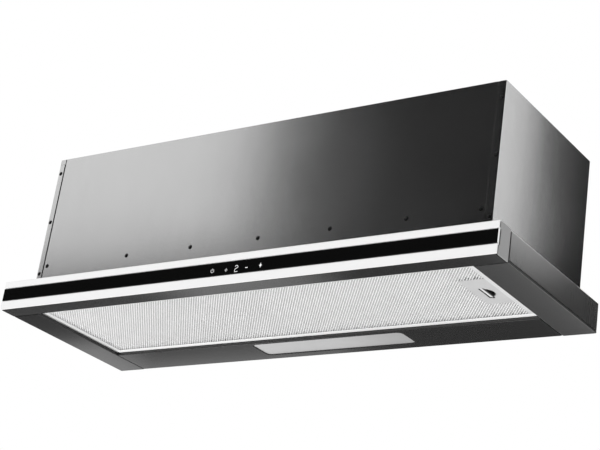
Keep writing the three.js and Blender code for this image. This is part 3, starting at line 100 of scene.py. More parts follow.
# %% Formula helpers
class Value:
    """A number socket that can be written in a formula."""

    def __init__(self, tree, socket):
        self.tree, self.socket = tree, socket

    def math(self, operation, *others):
        node = self.tree.add("ShaderNodeMath", {"operation": operation}, (self, *others))
        return Value(self.tree, node.outputs[0])

    def __add__(self, other):
        return self.math("ADD", other)

    def __sub__(self, other):
        return self.math("SUBTRACT", other)

    def __rsub__(self, other):
        return (self * -1) + other

    def __mul__(self, other):
        return self.math("MULTIPLY", other)

    def __truediv__(self, other):
        return self.math("DIVIDE", other)

    def __rtruediv__(self, other):
        return self.math("POWER", -1) * other

    def __pow__(self, other):
        return self.math("POWER", other)

    __radd__, __rmul__ = __add__, __mul__

    def smooth(self, low, high):
        """0 below low, 1 above high and a soft step between them."""
        sockets = {"Value": self, "From Min": low, "From Max": high}
        node = self.tree.add("ShaderNodeMapRange", {"interpolation_type": "SMOOTHSTEP"}, sockets)
        return Value(self.tree, node.outputs["Result"])


class Tree:
    """A node tree, of a material, a world or a shape."""

    def __init__(self, tree):
        self.tree = tree

    def add(self, kind, settings=None, sockets=()):
        """A node: its settings are set first, then its sockets get a value or a link."""
        node = self.tree.nodes.new(kind)
        for name, value in (settings or {}).items():
            setattr(node, name, value)
        pairs = sockets.items() if isinstance(sockets, dict) else enumerate(sockets)
        for name, value in pairs:
            self.put(node.inputs[name], value)
        return node

    def put(self, socket, value):
        if isinstance(value, Value):
            value = value.socket
        if isinstance(value, bpy.types.NodeSocket):
            self.tree.links.new(value, socket)
        else:
            socket.default_value = value

    def value(self, node, output=0):
        return Value(self, node.outputs[output])

    def mix(self, factor, low, high):
        """A colour between two colours."""
        node = self.add("ShaderNodeMix", {"data_type": "RGBA"}, {0: factor, 6: low, 7: high})
        return node.outputs[2]

    def split(self, vector):
        """The x, y and z of a vector."""
        node = self.add("ShaderNodeSeparateXYZ", None, {0: vector})
        return [self.value(node, i) for i in range(3)]


def emptied(owner):
    """The node tree of a new material or world, with nothing in it."""
    owner.use_nodes = True
    owner.node_tree.nodes.clear()
    return Tree(owner.node_tree)


def grey(tone):
    return (tone, tone, tone, 1.0)


X, Y, Z = range(3)
print("axes are numbered", X, Y, Z)

# %% [markdown]
# ## Studio
#
# Polished sheet shows its surroundings, so the surroundings are designed first. The room is white for the
# camera and for every mirror, and a little darker for matte light, so that white metal doesn't clip. The
# rays are told apart with Light Path, which knows what kind of ray asks.

# %% World
MATTE_LIGHT = 0.72
world = bpy.data.worlds.new("studio")
bpy.context.scene.world = world
room = emptied(world)
rays = room.add("ShaderNodeLightPath")
seen, mirrored, through = [
    room.value(rays, kind) for kind in ("Is Camera Ray", "Is Glossy Ray", "Is Transmission Ray")
]
brightness = (seen + mirrored + through) * (1 - MATTE_LIGHT) + MATTE_LIGHT
shade = room.add("ShaderNodeCombineColor", None, (brightness, brightness, brightness))
background = room.add("ShaderNodeBackground", None, {"Color": shade.outputs[0], "Strength": 1.0})
room.add("ShaderNodeOutputWorld", None, {"Surface": background.outputs[0]})
bpy.context.scene.view_settings.view_transform = "Standard"
print("matte light", MATTE_LIGHT)

# %% [markdown]
# The floor is a sheet of white paper well below the hood, because the camera looks up from under it. Its
# colour is pale, a weak glow of its own brings it up to white, and it keeps the hood's soft shadow. From
# below it is clear, so a camera can look up through it.

# %% Floor
def sheet(name, outline, material):
    """A flat piece of the studio with four corners."""
    mesh = bpy.data.meshes.new(name)
    mesh.from_pydata(outline, [], [(0, 1, 2, 3)])
    mesh.materials.append(material)
    piece = added(name, mesh)
    return piece


FLOOR, REACH = -1.7, 12
PAPER_TONE, PAPER_GLOW = 0.82, 0.25
paper = bpy.data.materials.new("white_paper")
card = emptied(paper)
matte = card.add("ShaderNodeBsdfDiffuse", None, {"Color": grey(PAPER_TONE)})
glow = card.add("ShaderNodeEmission", None, {"Color": grey(1.0), "Strength": PAPER_GLOW})
upper = card.add("ShaderNodeAddShader", None, (matte.outputs[0], glow.outputs[0]))
clear = card.add("ShaderNodeBsdfTransparent")
from_below = card.add("ShaderNodeNewGeometry").outputs["Backfacing"]
surface = card.add("ShaderNodeMixShader", None, (from_below, upper.outputs[0], clear.outputs[0]))
card.add("ShaderNodeOutputMaterial", None, {"Surface": surface.outputs[0]})
ends = ((-REACH, -REACH), (REACH, -REACH), (REACH, REACH), (-REACH, REACH))
sheet("floor", [(x, y, FLOOR) for x, y in ends], paper)
print("floor at", FLOOR)

# %% [markdown]
# Black flags shape what the steel mirrors, as a photographer does with black card. Only mirrored rays see
# them. The front flags leave an opening at the upper left, so the front panel runs from light grey there
# to near black on the right. Two more stand past the right side and darken the side panel towards the rear
# and the side cover below it. The rest lie under the hood with two openings between them, which show
# as a sheen on the powder coat. How soft a flag's edge looks is left to the steel's roughness and
# the flag's distance.

# %% Flags
felt = bpy.data.materials.new("black_felt")
cloth = emptied(felt)
black = cloth.add("ShaderNodeBsdfDiffuse", None, {"Color": grey(0.02)})
cloth.add("ShaderNodeOutputMaterial", None, {"Surface": black.outputs[0]})


def across(axis, depth, point):
    """A point in a plane across an axis, from its two other coordinates."""
    return (*point[:axis], depth, *point[axis:])


def flag(name, axis, depth, first, second):
    """A rectangle across one axis, between two opposite corners."""
    (a0, b0), (a1, b1) = first, second
    outline = [across(axis, depth, point) for point in ((a0, b0), (a1, b0), (a1, b1), (a0, b1))]
    piece = sheet(name, outline, felt)
    piece.visible_camera = piece.visible_diffuse = piece.visible_shadow = False
    piece.visible_transmission = piece.visible_volume_scatter = False


IN_FRONT, BESIDE, UNDER = -1.5, 0.68, -0.35  # the planes that the flags stand in
EDGE_X, EDGE_Z = -1.115, 0.765  # the lower right corner of the opening in front
FRONT_FOOT, SIDE_FOOT = -1.4, -0.9  # the flags' lower edges
SIDE_EDGE = 0.435  # in front of this y the side flag is low
SHEEN_LEFT, SHEEN_REAR = -0.38, 1.0  # where the flags under the hood meet
FLAGS = {
    "front_flag": (Y, IN_FRONT, (EDGE_X, FRONT_FOOT), (3.0, 3.2)),
    "front_flag_low": (Y, IN_FRONT, (-5.0, FRONT_FOOT), (EDGE_X, EDGE_Z)),
    "side_flag": (X, BESIDE, (SIDE_EDGE, SIDE_FOOT), (5.0, 3.0)),
    "side_flag_low": (X, BESIDE, (-0.6, SIDE_FOOT), (SIDE_EDGE, 0.20)),
    "floor_flag_left": (Z, UNDER, (-2.5, 0.0), (-0.76, 0.82)),
    "floor_flag_middle": (Z, UNDER, (-1.15, 0.72), (SHEEN_LEFT, SHEEN_REAR)),
    "floor_flag_right": (Z, UNDER, (SHEEN_LEFT, 0.0), (0.06, SHEEN_REAR)),
    "floor_flag_rear": (Z, UNDER, (-0.6, SHEEN_REAR), (1.5, 2.5)),
}
for name, place in FLAGS.items():
    flag(name, *place)
print(f"{len(FLAGS)} flags")

# %% [markdown]
# Three soft lamps give the matte pieces a direction: one in front and above, and two low ones that lift the
# filter. The low ones face straight up, so they don't light the floor beside them. None is seen in mirrors,
# where the white room already stands.

# %% Lamps
def lamp(name, place, target, width, height, power):
    data = bpy.data.lights.new(name, "AREA")
    data.shape, data.size, data.size_y, data.energy = "RECTANGLE", width, height, power
    light = added(name, data)
    light.location = place
    light.rotation_euler = (Vector(target) - Vector(place)).to_track_quat("-Z", "Y").to_euler()
    light.visible_camera = False
    light.visible_glossy = False
    print(name, power, "W")


lamp("front_light", (-0.6, -2.6, 1.2), (0, 0, 0.05), 2.2, 1.4, 30)
lamp("low_right_light", (1.3, -1.0, -1.3), (1.3, -1.0, 0), 1.6, 1.2, 19)
lamp("low_left_light", (-1.3, -0.4, -1.3), (-1.3, -0.4, 0), 1.6, 1.2, 22)

# %% [markdown]
# ## Finishes
#
# Each finish starts from one Principled shader. Object coordinates are metres on the hood, so a grain of
# 0.4 mm is a noise scale of about 2500. `Finish` holds the shader, and its sockets are named as in Blender.

# %% Principled base
class Finish(Tree):
    """A material with one Principled shader. Constants are named as its sockets, with underscores."""

    def __init__(self, name, tone, roughness, metallic=0.0, **constants):
        self.material = bpy.data.materials.new(name)
        self.material.use_nodes = True
        super().__init__(self.material.node_tree)
        self.shader = self.tree.nodes["Principled BSDF"]
        self.set({"Base Color": grey(tone), "Roughness": roughness, "Metallic": metallic})
        self.set({label.replace("_", " ").title(): value for label, value in constants.items()})
        self.place = self.add("ShaderNodeTexCoord").outputs["Object"]

    def set(self, sockets):
        for name, value in sockets.items():
            self.put(self.shader.inputs[name.replace("Ior", "IOR")], value)

    def noise(self, scale, detail=2.0, stretch=(1, 1, 1)):
        placed = self.add("ShaderNodeMapping", None, {"Vector": self.place, "Scale": stretch})
        sockets = {"Vector": placed.outputs[0], "Scale": scale, "Detail": detail}
        return self.value(self.add("ShaderNodeTexNoise", None, sockets), "Fac")

    def bump(self, height, depth, strength):
        sockets = {"Strength": strength, "Distance": depth, "Height": height}
        self.set({"Normal": self.add("ShaderNodeBump", None, sockets).outputs[0]})


print("a grain of 0.4 mm is a noise scale of", round(1 / 0.0004))

# %% [markdown]
# ## Brushed steel
#
# The casing, the front strip and the side covers are brushed sheet. The brush leaves grooves a few tenths
# of a millimetre wide and centimetres long, which is noise stretched along the brushing. It changes the
# roughness and a faint bump, and a little of the colour. Broad clouds and short wipes from handling keep
# large faces from looking even. The strip looks nearly white, so it is hardly metallic here.

# %% Brushed metals
GROOVES, WIPES, CLOUDS = 2600, 60, 4.5  # noise scales, from fine to broad
GROOVE_STRETCH, WIPE_STRETCH = 0.012, 0.2
SWING = 0.28  # how far the tone goes down and up
# painted highlight: a bright line painted into the colour just below a fold, where light catches the round
# edge
HIGHLIGHT_FROM, HIGHLIGHT_FULL, HIGHLIGHT_TONE = 0.0012, 0.0008, 0.95  # the bright line below a fold


def brushed(name, tone, roughness, along, metallic=1.0, contrast=0.10, cloud=0.05, fold=None):
    """Sheet metal brushed along an axis. Just below a fold at the height `fold` a painted highlight brightens
    it.
    """
    finish = Finish(name, tone, roughness, metallic)
    grain = finish.noise(GROOVES, 3.0, [GROOVE_STRETCH if axis == along else 1.0 for axis in (X, Y, Z)])
    clouds = finish.noise(CLOUDS)
    wipes = finish.noise(WIPES, 4.0, [WIPE_STRETCH if axis == along else 1.0 for axis in (X, Y, Z)])
    finish.set({"Roughness": roughness + (grain - 0.5) * contrast + (clouds - 0.5) * cloud})
    change = (grain - 0.5) * contrast + (clouds - 0.5) * cloud + (wipes - 0.5) * cloud + 0.5
    colour = finish.mix(change, grey(tone * (1 - SWING)), grey(min(tone * (1 + SWING), 1.0)))
    if fold:
        # painted highlight: the colour turns bright just below the fold
        painted_highlight = finish.split(finish.place)[Z].smooth(fold - HIGHLIGHT_FROM, fold - HIGHLIGHT_FULL)
        colour = finish.mix(painted_highlight, colour, grey(HIGHLIGHT_TONE))
    finish.set({"Base Color": colour})
    finish.bump(grain, 0.0003 * contrast, 0.5)
    return finish.material


# the side covers' fold height, below which their colour has a painted highlight
COVER_FOLD = 0.0455
body_steel = brushed("brushed_steel_body", 0.60, 0.20, Z, cloud=0.10)
strip_steel = brushed("bright_steel_strip", 0.78, 0.42, X, metallic=0.12, contrast=0.14)
pin_steel = brushed("ground_steel", 0.60, 0.28, Y)
screw_steel = brushed("screw_steel", 0.06, 0.34, Y)
cover_steel = brushed(
    "brushed_steel_cover", 0.45, 0.28, Z, metallic=0.93, contrast=0.02, cloud=0.06, fold=COVER_FOLD
)
print("brushed:", body_steel.name, strip_steel.name, pin_steel.name, screw_steel.name, cover_steel.name)

# %% [markdown]
# ## Galvanised sheet
#
# The rear, the top, the slides and the drawer's frame are sheet dipped in zinc, which cools into crystals.
# A Voronoi texture gives each crystal its own random colour, and one channel of it sets a slightly
# different grey and gloss. It is only half metallic, so it stays grey where the studio is black.

# %% Zinc
CRYSTALS, ZINC_DARK, ZINC_PALE, ZINC_GLOSS = 140.0, 0.47, 0.55, 0.42


def galvanised():
    finish = Finish("galvanised_sheet", 0.5, 0.4, 0.45)
    cells = finish.add("ShaderNodeTexVoronoi", {"feature": "F1"}, {"Vector": finish.place, "Scale": CRYSTALS})
    patch = finish.value(finish.add("ShaderNodeSeparateColor", None, {0: cells.outputs["Color"]}))
    finish.set({"Base Color": finish.mix(patch, grey(ZINC_DARK), grey(ZINC_PALE))})
    finish.set({"Roughness": patch * 0.08 + ZINC_GLOSS})
    finish.bump(finish.noise(900), 0.00002, 0.4)
    return finish.material


zinc = galvanised()
print("zinc crystals of about", round(1000 / CRYSTALS), "mm")

# %% [markdown]
# ## Powder coat and plastics
#
# The underside is steel with charcoal powder coat. Powder melts into a skin with a fine orange peel, which
# is a bump on noise under a millimetre. Two tones mixed by a broader noise keep it from looking printed.
# The same rule with other numbers makes the moulded plastics, the circuit boards and the black foam, which
# is painted shade. The coat has four tunings, because the rails, the lamp panel and the drawer's underside
# mirror different parts of the studio, and each is matched to the photograph by itself. They are lit and
# shaded copies of one coat: the right rail's is a lit copy, painted lighter.

# %% Skins
def coated(
    name, tone, roughness, peel=0.00004, scale=1400, spread=0.12, tint=(1, 1, 1), deep=None, shine=0.5
):
    """Moulded or coated skin.

    `peel` is the bump's depth and `shine` the specular level. `deep` is a distance from the middle, inside
    which the skin is painted nearly black, as painted shade.
    """
    finish = Finish(name, tone, roughness, specular_ior_level=shine)
    dark, pale = [(*(tone * factor * part for part in tint), 1.0) for factor in (1 - spread, 1 + spread)]
    broad = finish.noise(9)
    colour = finish.mix(broad, dark, pale)
    if deep:
        # painted shade: inside `deep` the colour goes nearly black
        aside = finish.split(finish.place)[X].math("ABSOLUTE")
        colour = finish.mix(aside.smooth(deep - 0.0004, deep), grey(0.004), colour)
    finish.set({"Base Color": colour})
    finish.set({"Roughness": roughness + (broad - 0.5) * spread})
    if peel:
        finish.bump(finish.noise(scale, 3.0), peel, 0.6)
    return finish.material


COAT = {"peel": 0.0000012, "spread": 0.02}
MOULDED = {"peel": 0.00003, "scale": 2200}
# painted shade: the end caps are painted nearly black inside this x, which takes in the slot round the glass
CAP_SHADE_X = 0.4480  # the end caps are dark inside this x, in the slot round the glass
charcoal = coated("charcoal_powder_coat", 0.024, 0.16, **COAT)
lamp_coat = coated("charcoal_lamp_panel", 0.023, 0.14, peel=0, spread=0.02)
# painted light: the right rail's coat is a lit copy, lighter than the other charcoal coats
lit_right_rail_coat = coated("charcoal_right_rail", 0.042, 0.20, **COAT)
left_coat = coated("charcoal_left_rail", 0.022, 0.11, **COAT)
grey_plastic = coated("grey_moulded_plastic", 0.30, 0.38, **MOULDED)
cap_plastic = coated("end_cap_plastic", 0.31, 0.38, deep=CAP_SHADE_X, **MOULDED)
black_plastic = coated("black_moulded_plastic", 0.018, 0.42, **MOULDED)
green_board = coated("green_circuit_board", 0.06, 0.35, tint=(0.2, 1.5, 0.5))
# painted shade: this black foam goes where only shade is, in the seams and round the front screws
foam = coated("black_foam", 0.008, 0.8, peel=0.0001, scale=3000, shine=0.1)
print(f"{len(bpy.data.materials)} materials so far")

# %% [markdown]
# ## Glass, lens and light
#
# The band is float glass painted black on its rear, so a black coat with a mirror finish stands for it, and
# only its ground ends are pale. The lens is frosted plastic: many fine prisms, which a fine noise stands
# for. The symbols give light. The first keys are dim, and each is a little uneven.

# %% Glass, lens and symbols
def black_glass(end):
    """Black glass with ground ends at x = +end and -end."""
    finish = Finish("black_glass", 0.0035, 0.035, ior=1.5)
    wave = finish.noise(18, 1.0)
    ground = finish.split(finish.place)[X].math("ABSOLUTE").smooth(end - 0.0004, end - 0.0001)
    finish.set({"Base Color": finish.mix(ground, grey(0.0025), grey(0.9))})
    finish.set({"Roughness": wave * 0.03 + 0.03 + ground * 0.4})
    return finish.material


def frosted_lens():
    """Frosted plastic, with painted shade that makes it a little darker towards its right end."""
    finish = Finish("frosted_lens", 0.45, 0.34, ior=1.49)
    prism = finish.noise(1600)
    depth = finish.noise(6)
    # painted shade: the colour darkens towards the lens's right end
    far = finish.split(finish.place)[X].smooth(0.02, 0.17)
    even = finish.mix(depth, grey(0.36), grey(0.46))
    finish.set({"Base Color": finish.mix(far, even, grey(0.32))})
    finish.set({"Roughness": prism * 0.12 + 0.30})
    finish.bump(prism, 0.00005, 0.5)
    return finish.material


DIM_UNTIL, BRIGHT_FROM = 0.008, 0.016  # between these x the keys go from dim to bright


def lit_keys():
    finish = Finish("lit_symbol", 0.3, 0.3, emission_strength=0.8)
    spots = finish.noise(300, 1.0)
    bright = finish.split(finish.place)[X].smooth(DIM_UNTIL, BRIGHT_FROM)
    level = bright * 0.65 + spots * 0.15 + 0.22
    finish.set({"Emission Color": finish.mix(level, grey(0.0), grey(1.0))})
    return finish.material


lit_symbol = lit_keys()
glass = black_glass(0.4487)
lens = frosted_lens()
print("glass, lens and symbols:", glass.name, lens.name, lit_symbol.name)

# %% [markdown]
# ## Aluminium
#
# The grease filter is rolled aluminium, washed many times and a little dull. The rollers leave streaks along
# x, and a broader noise dulls some places. A tone can change past a height or a depth: the frame's rear bar
# has a painted highlight, and the plate and the latch have painted shade, nearly black where they go down
# into the finger pocket.

# %% Rolled aluminium
def rolled_aluminium(name, tone, roughness, metallic, *changes):
    """Rolled sheet. Each change is (axis, low, high, tone): past `high` on that axis it has another tone, a
    painted highlight or shade.
    """
    finish = Finish(name, tone, roughness, metallic)
    rolled = finish.noise(1500, stretch=(0.03, 1, 1))
    dull = finish.noise(35, 3.0)
    colour = finish.mix(dull, grey(tone * 0.88), grey(tone))
    for axis, low, high, other in changes:
        colour = finish.mix(finish.split(finish.place)[axis].smooth(low, high), colour, grey(other))
    finish.set({"Base Color": colour})
    finish.set({"Roughness": roughness + (rolled - 0.5) * 0.15 + (dull - 0.5) * 0.1})
    finish.bump(rolled, 0.00002, 0.5)
    return finish.material


# painted highlight on the frame's rear bar, and painted shade where the plate and the latch go down into the
# pocket
REAR_BAR_HIGHLIGHT = (Y, 0.069, 0.070, 1.0)
POCKET_SHADE = (Z, 0.0057, 0.0071, 0.02)
LATCH_ROOT_SHADE, LATCH_END_SHADE = (Z, 0.0067, 0.0074, 0.02), (X, 0.3595, 0.3620, 0.03)
aluminium = rolled_aluminium("rolled_aluminium", 0.80, 0.38, 0.35, REAR_BAR_HIGHLIGHT)
plate_aluminium = rolled_aluminium("plate_aluminium", 0.66, 0.38, 0.35, POCKET_SHADE)
latch_aluminium = rolled_aluminium("latch_aluminium", 0.90, 0.34, 0.30, LATCH_ROOT_SHADE, LATCH_END_SHADE)
mesh_aluminium = rolled_aluminium("expanded_aluminium", 1.0, 0.40, 0.15)
# painted shade: the pad behind the face mesh is a darker copy of the same aluminium, for the shade between
# layers
pad_aluminium = rolled_aluminium("pad_aluminium", 0.50, 0.5, 0.3)
print(f"{len(bpy.data.materials)} materials so far")

# %% [markdown]
# ## Which solid gets which finish
#
# One table names every solid. A solid that gets a softened copy below takes its finish from here too.

# %% Finishes of the solids
FINISHES = {
    body_steel: ["side_panel_left", "side_panel_right", "front_panel"],
    cover_steel: ["lower_side_left", "lower_side_right"],
    strip_steel: ["front_profile"],
    zinc: [
        "rear_panel", "top_panel", "front_rail", "rear_rail", "lamp_housing", "slide_outer_left",
        "slide_outer_right", "slide_inner_left", "slide_inner_right", "drawer_arm_left",
        "drawer_arm_right", "drawer_rear_bar", "motor", "motor_bracket",
    ],
    charcoal: ["drawer_underside", "drawer_cover"],
    lamp_coat: ["lamp_panel"],
    lit_right_rail_coat: ["bottom_rail_right"],
    left_coat: ["bottom_rail_left"],
    lens: ["lamp_lens"],
    green_board: ["led_board", "touch_board"],
    pin_steel: ["ball_cage_left", "ball_cage_right", "latch_spring", "motor_shaft", "flap_pin"],
    glass: ["control_glass"],
    grey_plastic: ["capacitor", "led_driver"],
    cap_plastic: ["end_cap_left", "end_cap_right"],
    black_plastic: [
        "drawer_magnet", "scroll_housing_left", "scroll_housing_right", "impeller", "outlet_collar",
        "flap_left", "flap_right", "control_box", "cable_gland", "drawer_sensor",
    ],
    aluminium: ["filter_frame", "inner_filter_frame"],
    plate_aluminium: ["latch_plate"],
    latch_aluminium: ["filter_latch"],
    pad_aluminium: ["filter_mesh", "inner_filter_mesh"],
}
finish_of = {name: material for material, names in FINISHES.items() for name in names}
for name, solid in nodes.items():
    solid.data.materials.clear()
    solid.data.materials.append(finish_of[name])
print(f"{len(finish_of)} solids have a finish")

# %% [markdown]
# ## Soft edges
#
# A folded or moulded edge is round, and a bright line runs along it. CAD leaves these edges sharp, so a
# copy of the solid gets a Bevel modifier, which is applied, and stands for the solid. The copy's loose
# triangles are merged first and its flat faces joined, or the bevel would follow every triangle.
#
# Two steps place a piece: it is fixed to the body that it rides with, and the solid that it replaces is
# hidden. `ride_with` and `stand_for` make them, so that each piece does it in the same way.

# %% Softened copies
body_of = {name: body for body, names in frame["record"]["behaviour"]["bodies"].items() for name in names}
FOLD_ANGLE = 30  # faces that meet at less than this belong to one round fold
ONE_POINT, ONE_PLANE, FLAT_ENOUGH = 1e-6, 1e-5, 0.01  # two distances in metres and an angle in radians


def ride_with(piece, node):
    """Fixes a piece to a solid's body."""
    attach(piece, body_of[node])


def stand_for(piece, node):
    ride_with(piece, node)
    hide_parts(node)


def merged(node):
    """A solid's shape, open for editing, with its loose triangles joined."""
    work = bmesh.new()
    work.from_mesh(nodes[node].data)
    bmesh.ops.remove_doubles(work, verts=work.verts, dist=ONE_POINT)
    return work


def closed(work, mesh):
    """Writes an edited shape into a mesh."""
    work.to_mesh(mesh)
    work.free()
    return mesh


def shaded(mesh, angle):
    """Smooth shading, with hard edges where faces meet at more than an angle."""
    mesh.polygons.foreach_set("use_smooth", [True] * len(mesh.polygons))
    mesh.set_sharp_from_angle(angle=math.radians(angle))


def applied(piece):
    """The piece's mesh with its modifiers worked in."""
    bpy.context.view_layer.update()
    evaluated = piece.evaluated_get(bpy.context.evaluated_depsgraph_get())
    mesh = bpy.data.meshes.new_from_object(evaluated)
    piece.modifiers.clear()
    return mesh


def softened(node, width, segments=2, moves=(), tool=None):
    """A bevelled copy. Points at `moves` (axis, from, to) are shifted first, and a tool is cut away."""
    work = merged(node)
    for axis, start, end in moves:
        for vertex in work.verts:
            if abs(vertex.co[axis] - start) < ONE_PLANE:
                vertex.co[axis] = end
    bmesh.ops.dissolve_limit(work, angle_limit=FLAT_ENOUGH, verts=work.verts, edges=work.edges)
    piece = added(node + "_soft", closed(work, nodes[node].data.copy()))
    if tool:
        cut = piece.modifiers.new("cut", "BOOLEAN")
        cut.operation, cut.solver, cut.object = "DIFFERENCE", "EXACT", tool
        piece.data = applied(piece)
        bpy.data.objects.remove(tool)
    bevel = piece.modifiers.new("soft_edges", "BEVEL")
    bevel.width, bevel.segments = width, segments
    bevel.limit_method, bevel.angle_limit = "ANGLE", math.radians(FOLD_ANGLE)
    bevel.harden_normals = True
    shaded(piece.data, FOLD_ANGLE)
    flat = piece.modifiers.new("flat_faces", "WEIGHTED_NORMAL")
    flat.keep_sharp, flat.weight = True, 90
    piece.data = applied(piece)
    stand_for(piece, node)
    return piece


SOFT_EDGES = {
    "front_profile": 0.0004,
    "side_panel_left": 0.0003,
    "side_panel_right": 0.0003,
    "lamp_lens": 0.0003,
    "drawer_cover": 0.0003,
    "filter_frame": 0.0003,
    "latch_plate": 0.00025,
    "filter_latch": 0.0004,
    "rear_panel": 0.0003,
    "top_panel": 0.0003,
    "control_box": 0.0015,
    "led_driver": 0.0010,
}
for name, width in SOFT_EDGES.items():
    softened(name, width)
print(f"{len(SOFT_EDGES)} softened pieces")

# %% [markdown]
# ## Groove, slot and seams
#
# Some copies get more than a soft edge. The front panel has a pressed groove along both flanges, and the
# end caps have a slot round the glass's end. Both are cut with upright prisms. Where two pieces meet in a
# seam, their edges draw back by 0.6 to 1.3 mm, so that black foam shows between them, as painted shade
# in the seam.

# %% Groove, slot and seam
def prisms(name, outlines, axis, low, high):
    """Closed prisms over flat outlines, from low to high along an axis."""
    work = bmesh.new()
    for outline in outlines:
        floor = [work.verts.new(across(axis, low, point)) for point in outline]
        roof = [work.verts.new(across(axis, high, point)) for point in outline]
        work.faces.new(floor)
        work.faces.new(roof)
        for i in range(len(outline)):
            j = (i + 1) % len(outline)
            work.faces.new((floor[i], floor[j], roof[j], roof[i]))
    bmesh.ops.recalc_face_normals(work, faces=work.faces)
    return closed(work, bpy.data.meshes.new(name))


def corners(node):
    """The low and the high corner of a solid's box."""
    low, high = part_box(node)
    return Vector(low), Vector(high)


face = corners("front_panel")[0].y
GROOVE_X, GROOVE_HALF, GROOVE_DEEP, GROOVE_TOP = 0.4062, 0.0009, 0.0008, 0.3
grooves = [
    [(x - GROOVE_HALF, face), (x + GROOVE_HALF, face), (x, face + GROOVE_DEEP)] for x in (-GROOVE_X, GROOVE_X)
]
softened("front_panel", 0.0002, tool=added("grooves", prisms("grooves", grooves, Z, 0.0, GROOVE_TOP)))

cover_low, cover_high = corners("lower_side_right")
cap_low, cap_high = corners("end_cap_right")
lamp_low, lamp_high = corners("lamp_panel")
under_low, under_high = corners("drawer_underside")
glass_low, glass_high = corners("control_glass")
SETBACK, RAIL_SEAM, LAMP_SEAM, DRAWER_SEAM = 0.0009, 0.0006, 0.0013, 0.0006  # how far an edge draws back
COVER_SEAM = 0.0006
cover_foot = cover_low.z + COVER_SEAM
SLOT_LENGTH, SLOT_DEEP, SLOT_MARGIN = 0.0032, 0.0018, 0.0012  # the margin is above and below the glass
slot_heights = glass_low.z - SLOT_MARGIN, glass_high.z + SLOT_MARGIN
PAST = 0.001  # a cutting tool reaches this far past the skin
for side, hand in ((-1, "left"), (1, "right")):
    deep, outside = side * (cap_high.x - SLOT_DEEP), side * (cap_high.x + PAST)
    near, far = cap_low.y - PAST, cap_low.y + SLOT_LENGTH
    outline = [(deep, near), (outside, near), (outside, far), (deep, far)]
    slot_tool = added("slot", prisms("slot", [outline], Z, *slot_heights))
    softened("end_cap_" + hand, 0.0008, 3, [(Y, cap_high.y, cap_high.y - SETBACK)], slot_tool)
    moves = [(Y, cover_low.y, cover_low.y + SETBACK), (Z, cover_low.z, cover_foot)]
    softened("lower_side_" + hand, 0.00045, moves=moves)
    rail = "bottom_rail_" + hand
    softened(rail, 0.0003, moves=[(Y, corners(rail)[0].y, cover_low.y + RAIL_SEAM)])

lamp_moves = [(X, lamp_low.x, lamp_low.x + LAMP_SEAM), (X, lamp_high.x, lamp_high.x - LAMP_SEAM)]
softened("lamp_panel", 0.0003, moves=lamp_moves)
softened("drawer_underside", 0.0003, moves=[(Y, under_high.y, under_high.y - DRAWER_SEAM)])
print("seam from", round(cap_high.y - SETBACK, 5), "to", round(cover_low.y + SETBACK, 5))

# %% [markdown]
# ## The latch's spring
#
# The spring closes up when the latch slides in: its left end stays against the filter's plate and its right
# end follows the latch. Its copy is smooth-shaded and rides with the spring's body.

# %% Spring
ROUND_WIRE = 60  # the wire has few sides, so its shading bends round sharper corners than a fold's
coil = closed(merged("latch_spring"), nodes["latch_spring"].data.copy())
shaded(coil, ROUND_WIRE)
spring = added("latch_spring_coil", coil)
stand_for(spring, "latch_spring")
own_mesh(spring)

# %% [markdown]
# ## Geometry Nodes for what repeats
#
# Screws and the filter's mesh are one small shape, repeated. A node group holds the rule and named inputs
# hold the sizes, so the same group makes both filters. It ends in Realize Instances and Set Material, and
# the result is turned into a plain mesh, because an exported model can't hold instances.

# %% Node groups
class Builder(Tree):
    """A geometry node group with named inputs, besides its start geometry and its material."""

    def __init__(self, name, inputs):
        group = bpy.data.node_groups.new(name, "GeometryNodeTree")
        super().__init__(group)
        self.identifiers = {}
        group.interface.new_socket("Geometry", in_out="OUTPUT", socket_type="NodeSocketGeometry")
        group.interface.new_socket("Geometry", in_out="INPUT", socket_type="NodeSocketGeometry")
        for label, kind in {**inputs, "Material": "Material"}.items():
            item = group.interface.new_socket(label, in_out="INPUT", socket_type="NodeSocket" + kind)
            self.identifiers[label] = item.identifier
        self.given = self.add("NodeGroupInput")
        self.result = self.add("NodeGroupOutput")

    def number(self, label):
        return Value(self, self.given.outputs[label])

    def vector(self, x=0.0, y=0.0, z=0.0):
        return self.add("ShaderNodeCombineXYZ", None, (x, y, z)).outputs[0]

    def moved(self, geometry, **sockets):
        named = {name.title(): value for name, value in sockets.items()}
        return self.add("GeometryNodeTransform", None, {"Geometry": geometry, **named}).outputs[0]

    def close(self, geometry):
        real = self.add("GeometryNodeRealizeInstances", None, {0: geometry})
        sockets = {"Geometry": real.outputs[0], "Material": self.given.outputs["Material"]}
        painted = self.add("GeometryNodeSetMaterial", None, sockets)
        self.put(self.result.inputs[0], painted.outputs[0])


def grown(name, builder, values, start=()):
    """A plain mesh from a node group: values go in by each input's identifier."""
    mesh = bpy.data.meshes.new(name)
    mesh.from_pydata(list(start), [], [])
    piece = added(name, mesh)
    modifier = piece.modifiers.new(name, "NODES")
    modifier.node_group = builder.tree
    for label, value in values.items():
        modifier[builder.identifiers[label]] = value
    piece.data = applied(piece)
    print(f"{name}: {len(piece.data.polygons)} faces")
    return piece


# %% [markdown]
# ## Expanded aluminium mesh
#
# The filter's face is expanded metal: a sheet that is slit and stretched, so that it opens into diamonds
# 4.65 mm wide and 5.78 mm long. Every strand is one side of a diamond. The strands' middles stand on a
# plain grid of half diamonds, and neighbours lean opposite ways like the fields of a checkerboard, so the
# group puts one three-sided strand on each grid point and turns it by the point's parity. The parity comes
# from the point's place, because deleting the points behind the latch plate numbers the others anew. The
# strands that cross the others are rolled thinner.

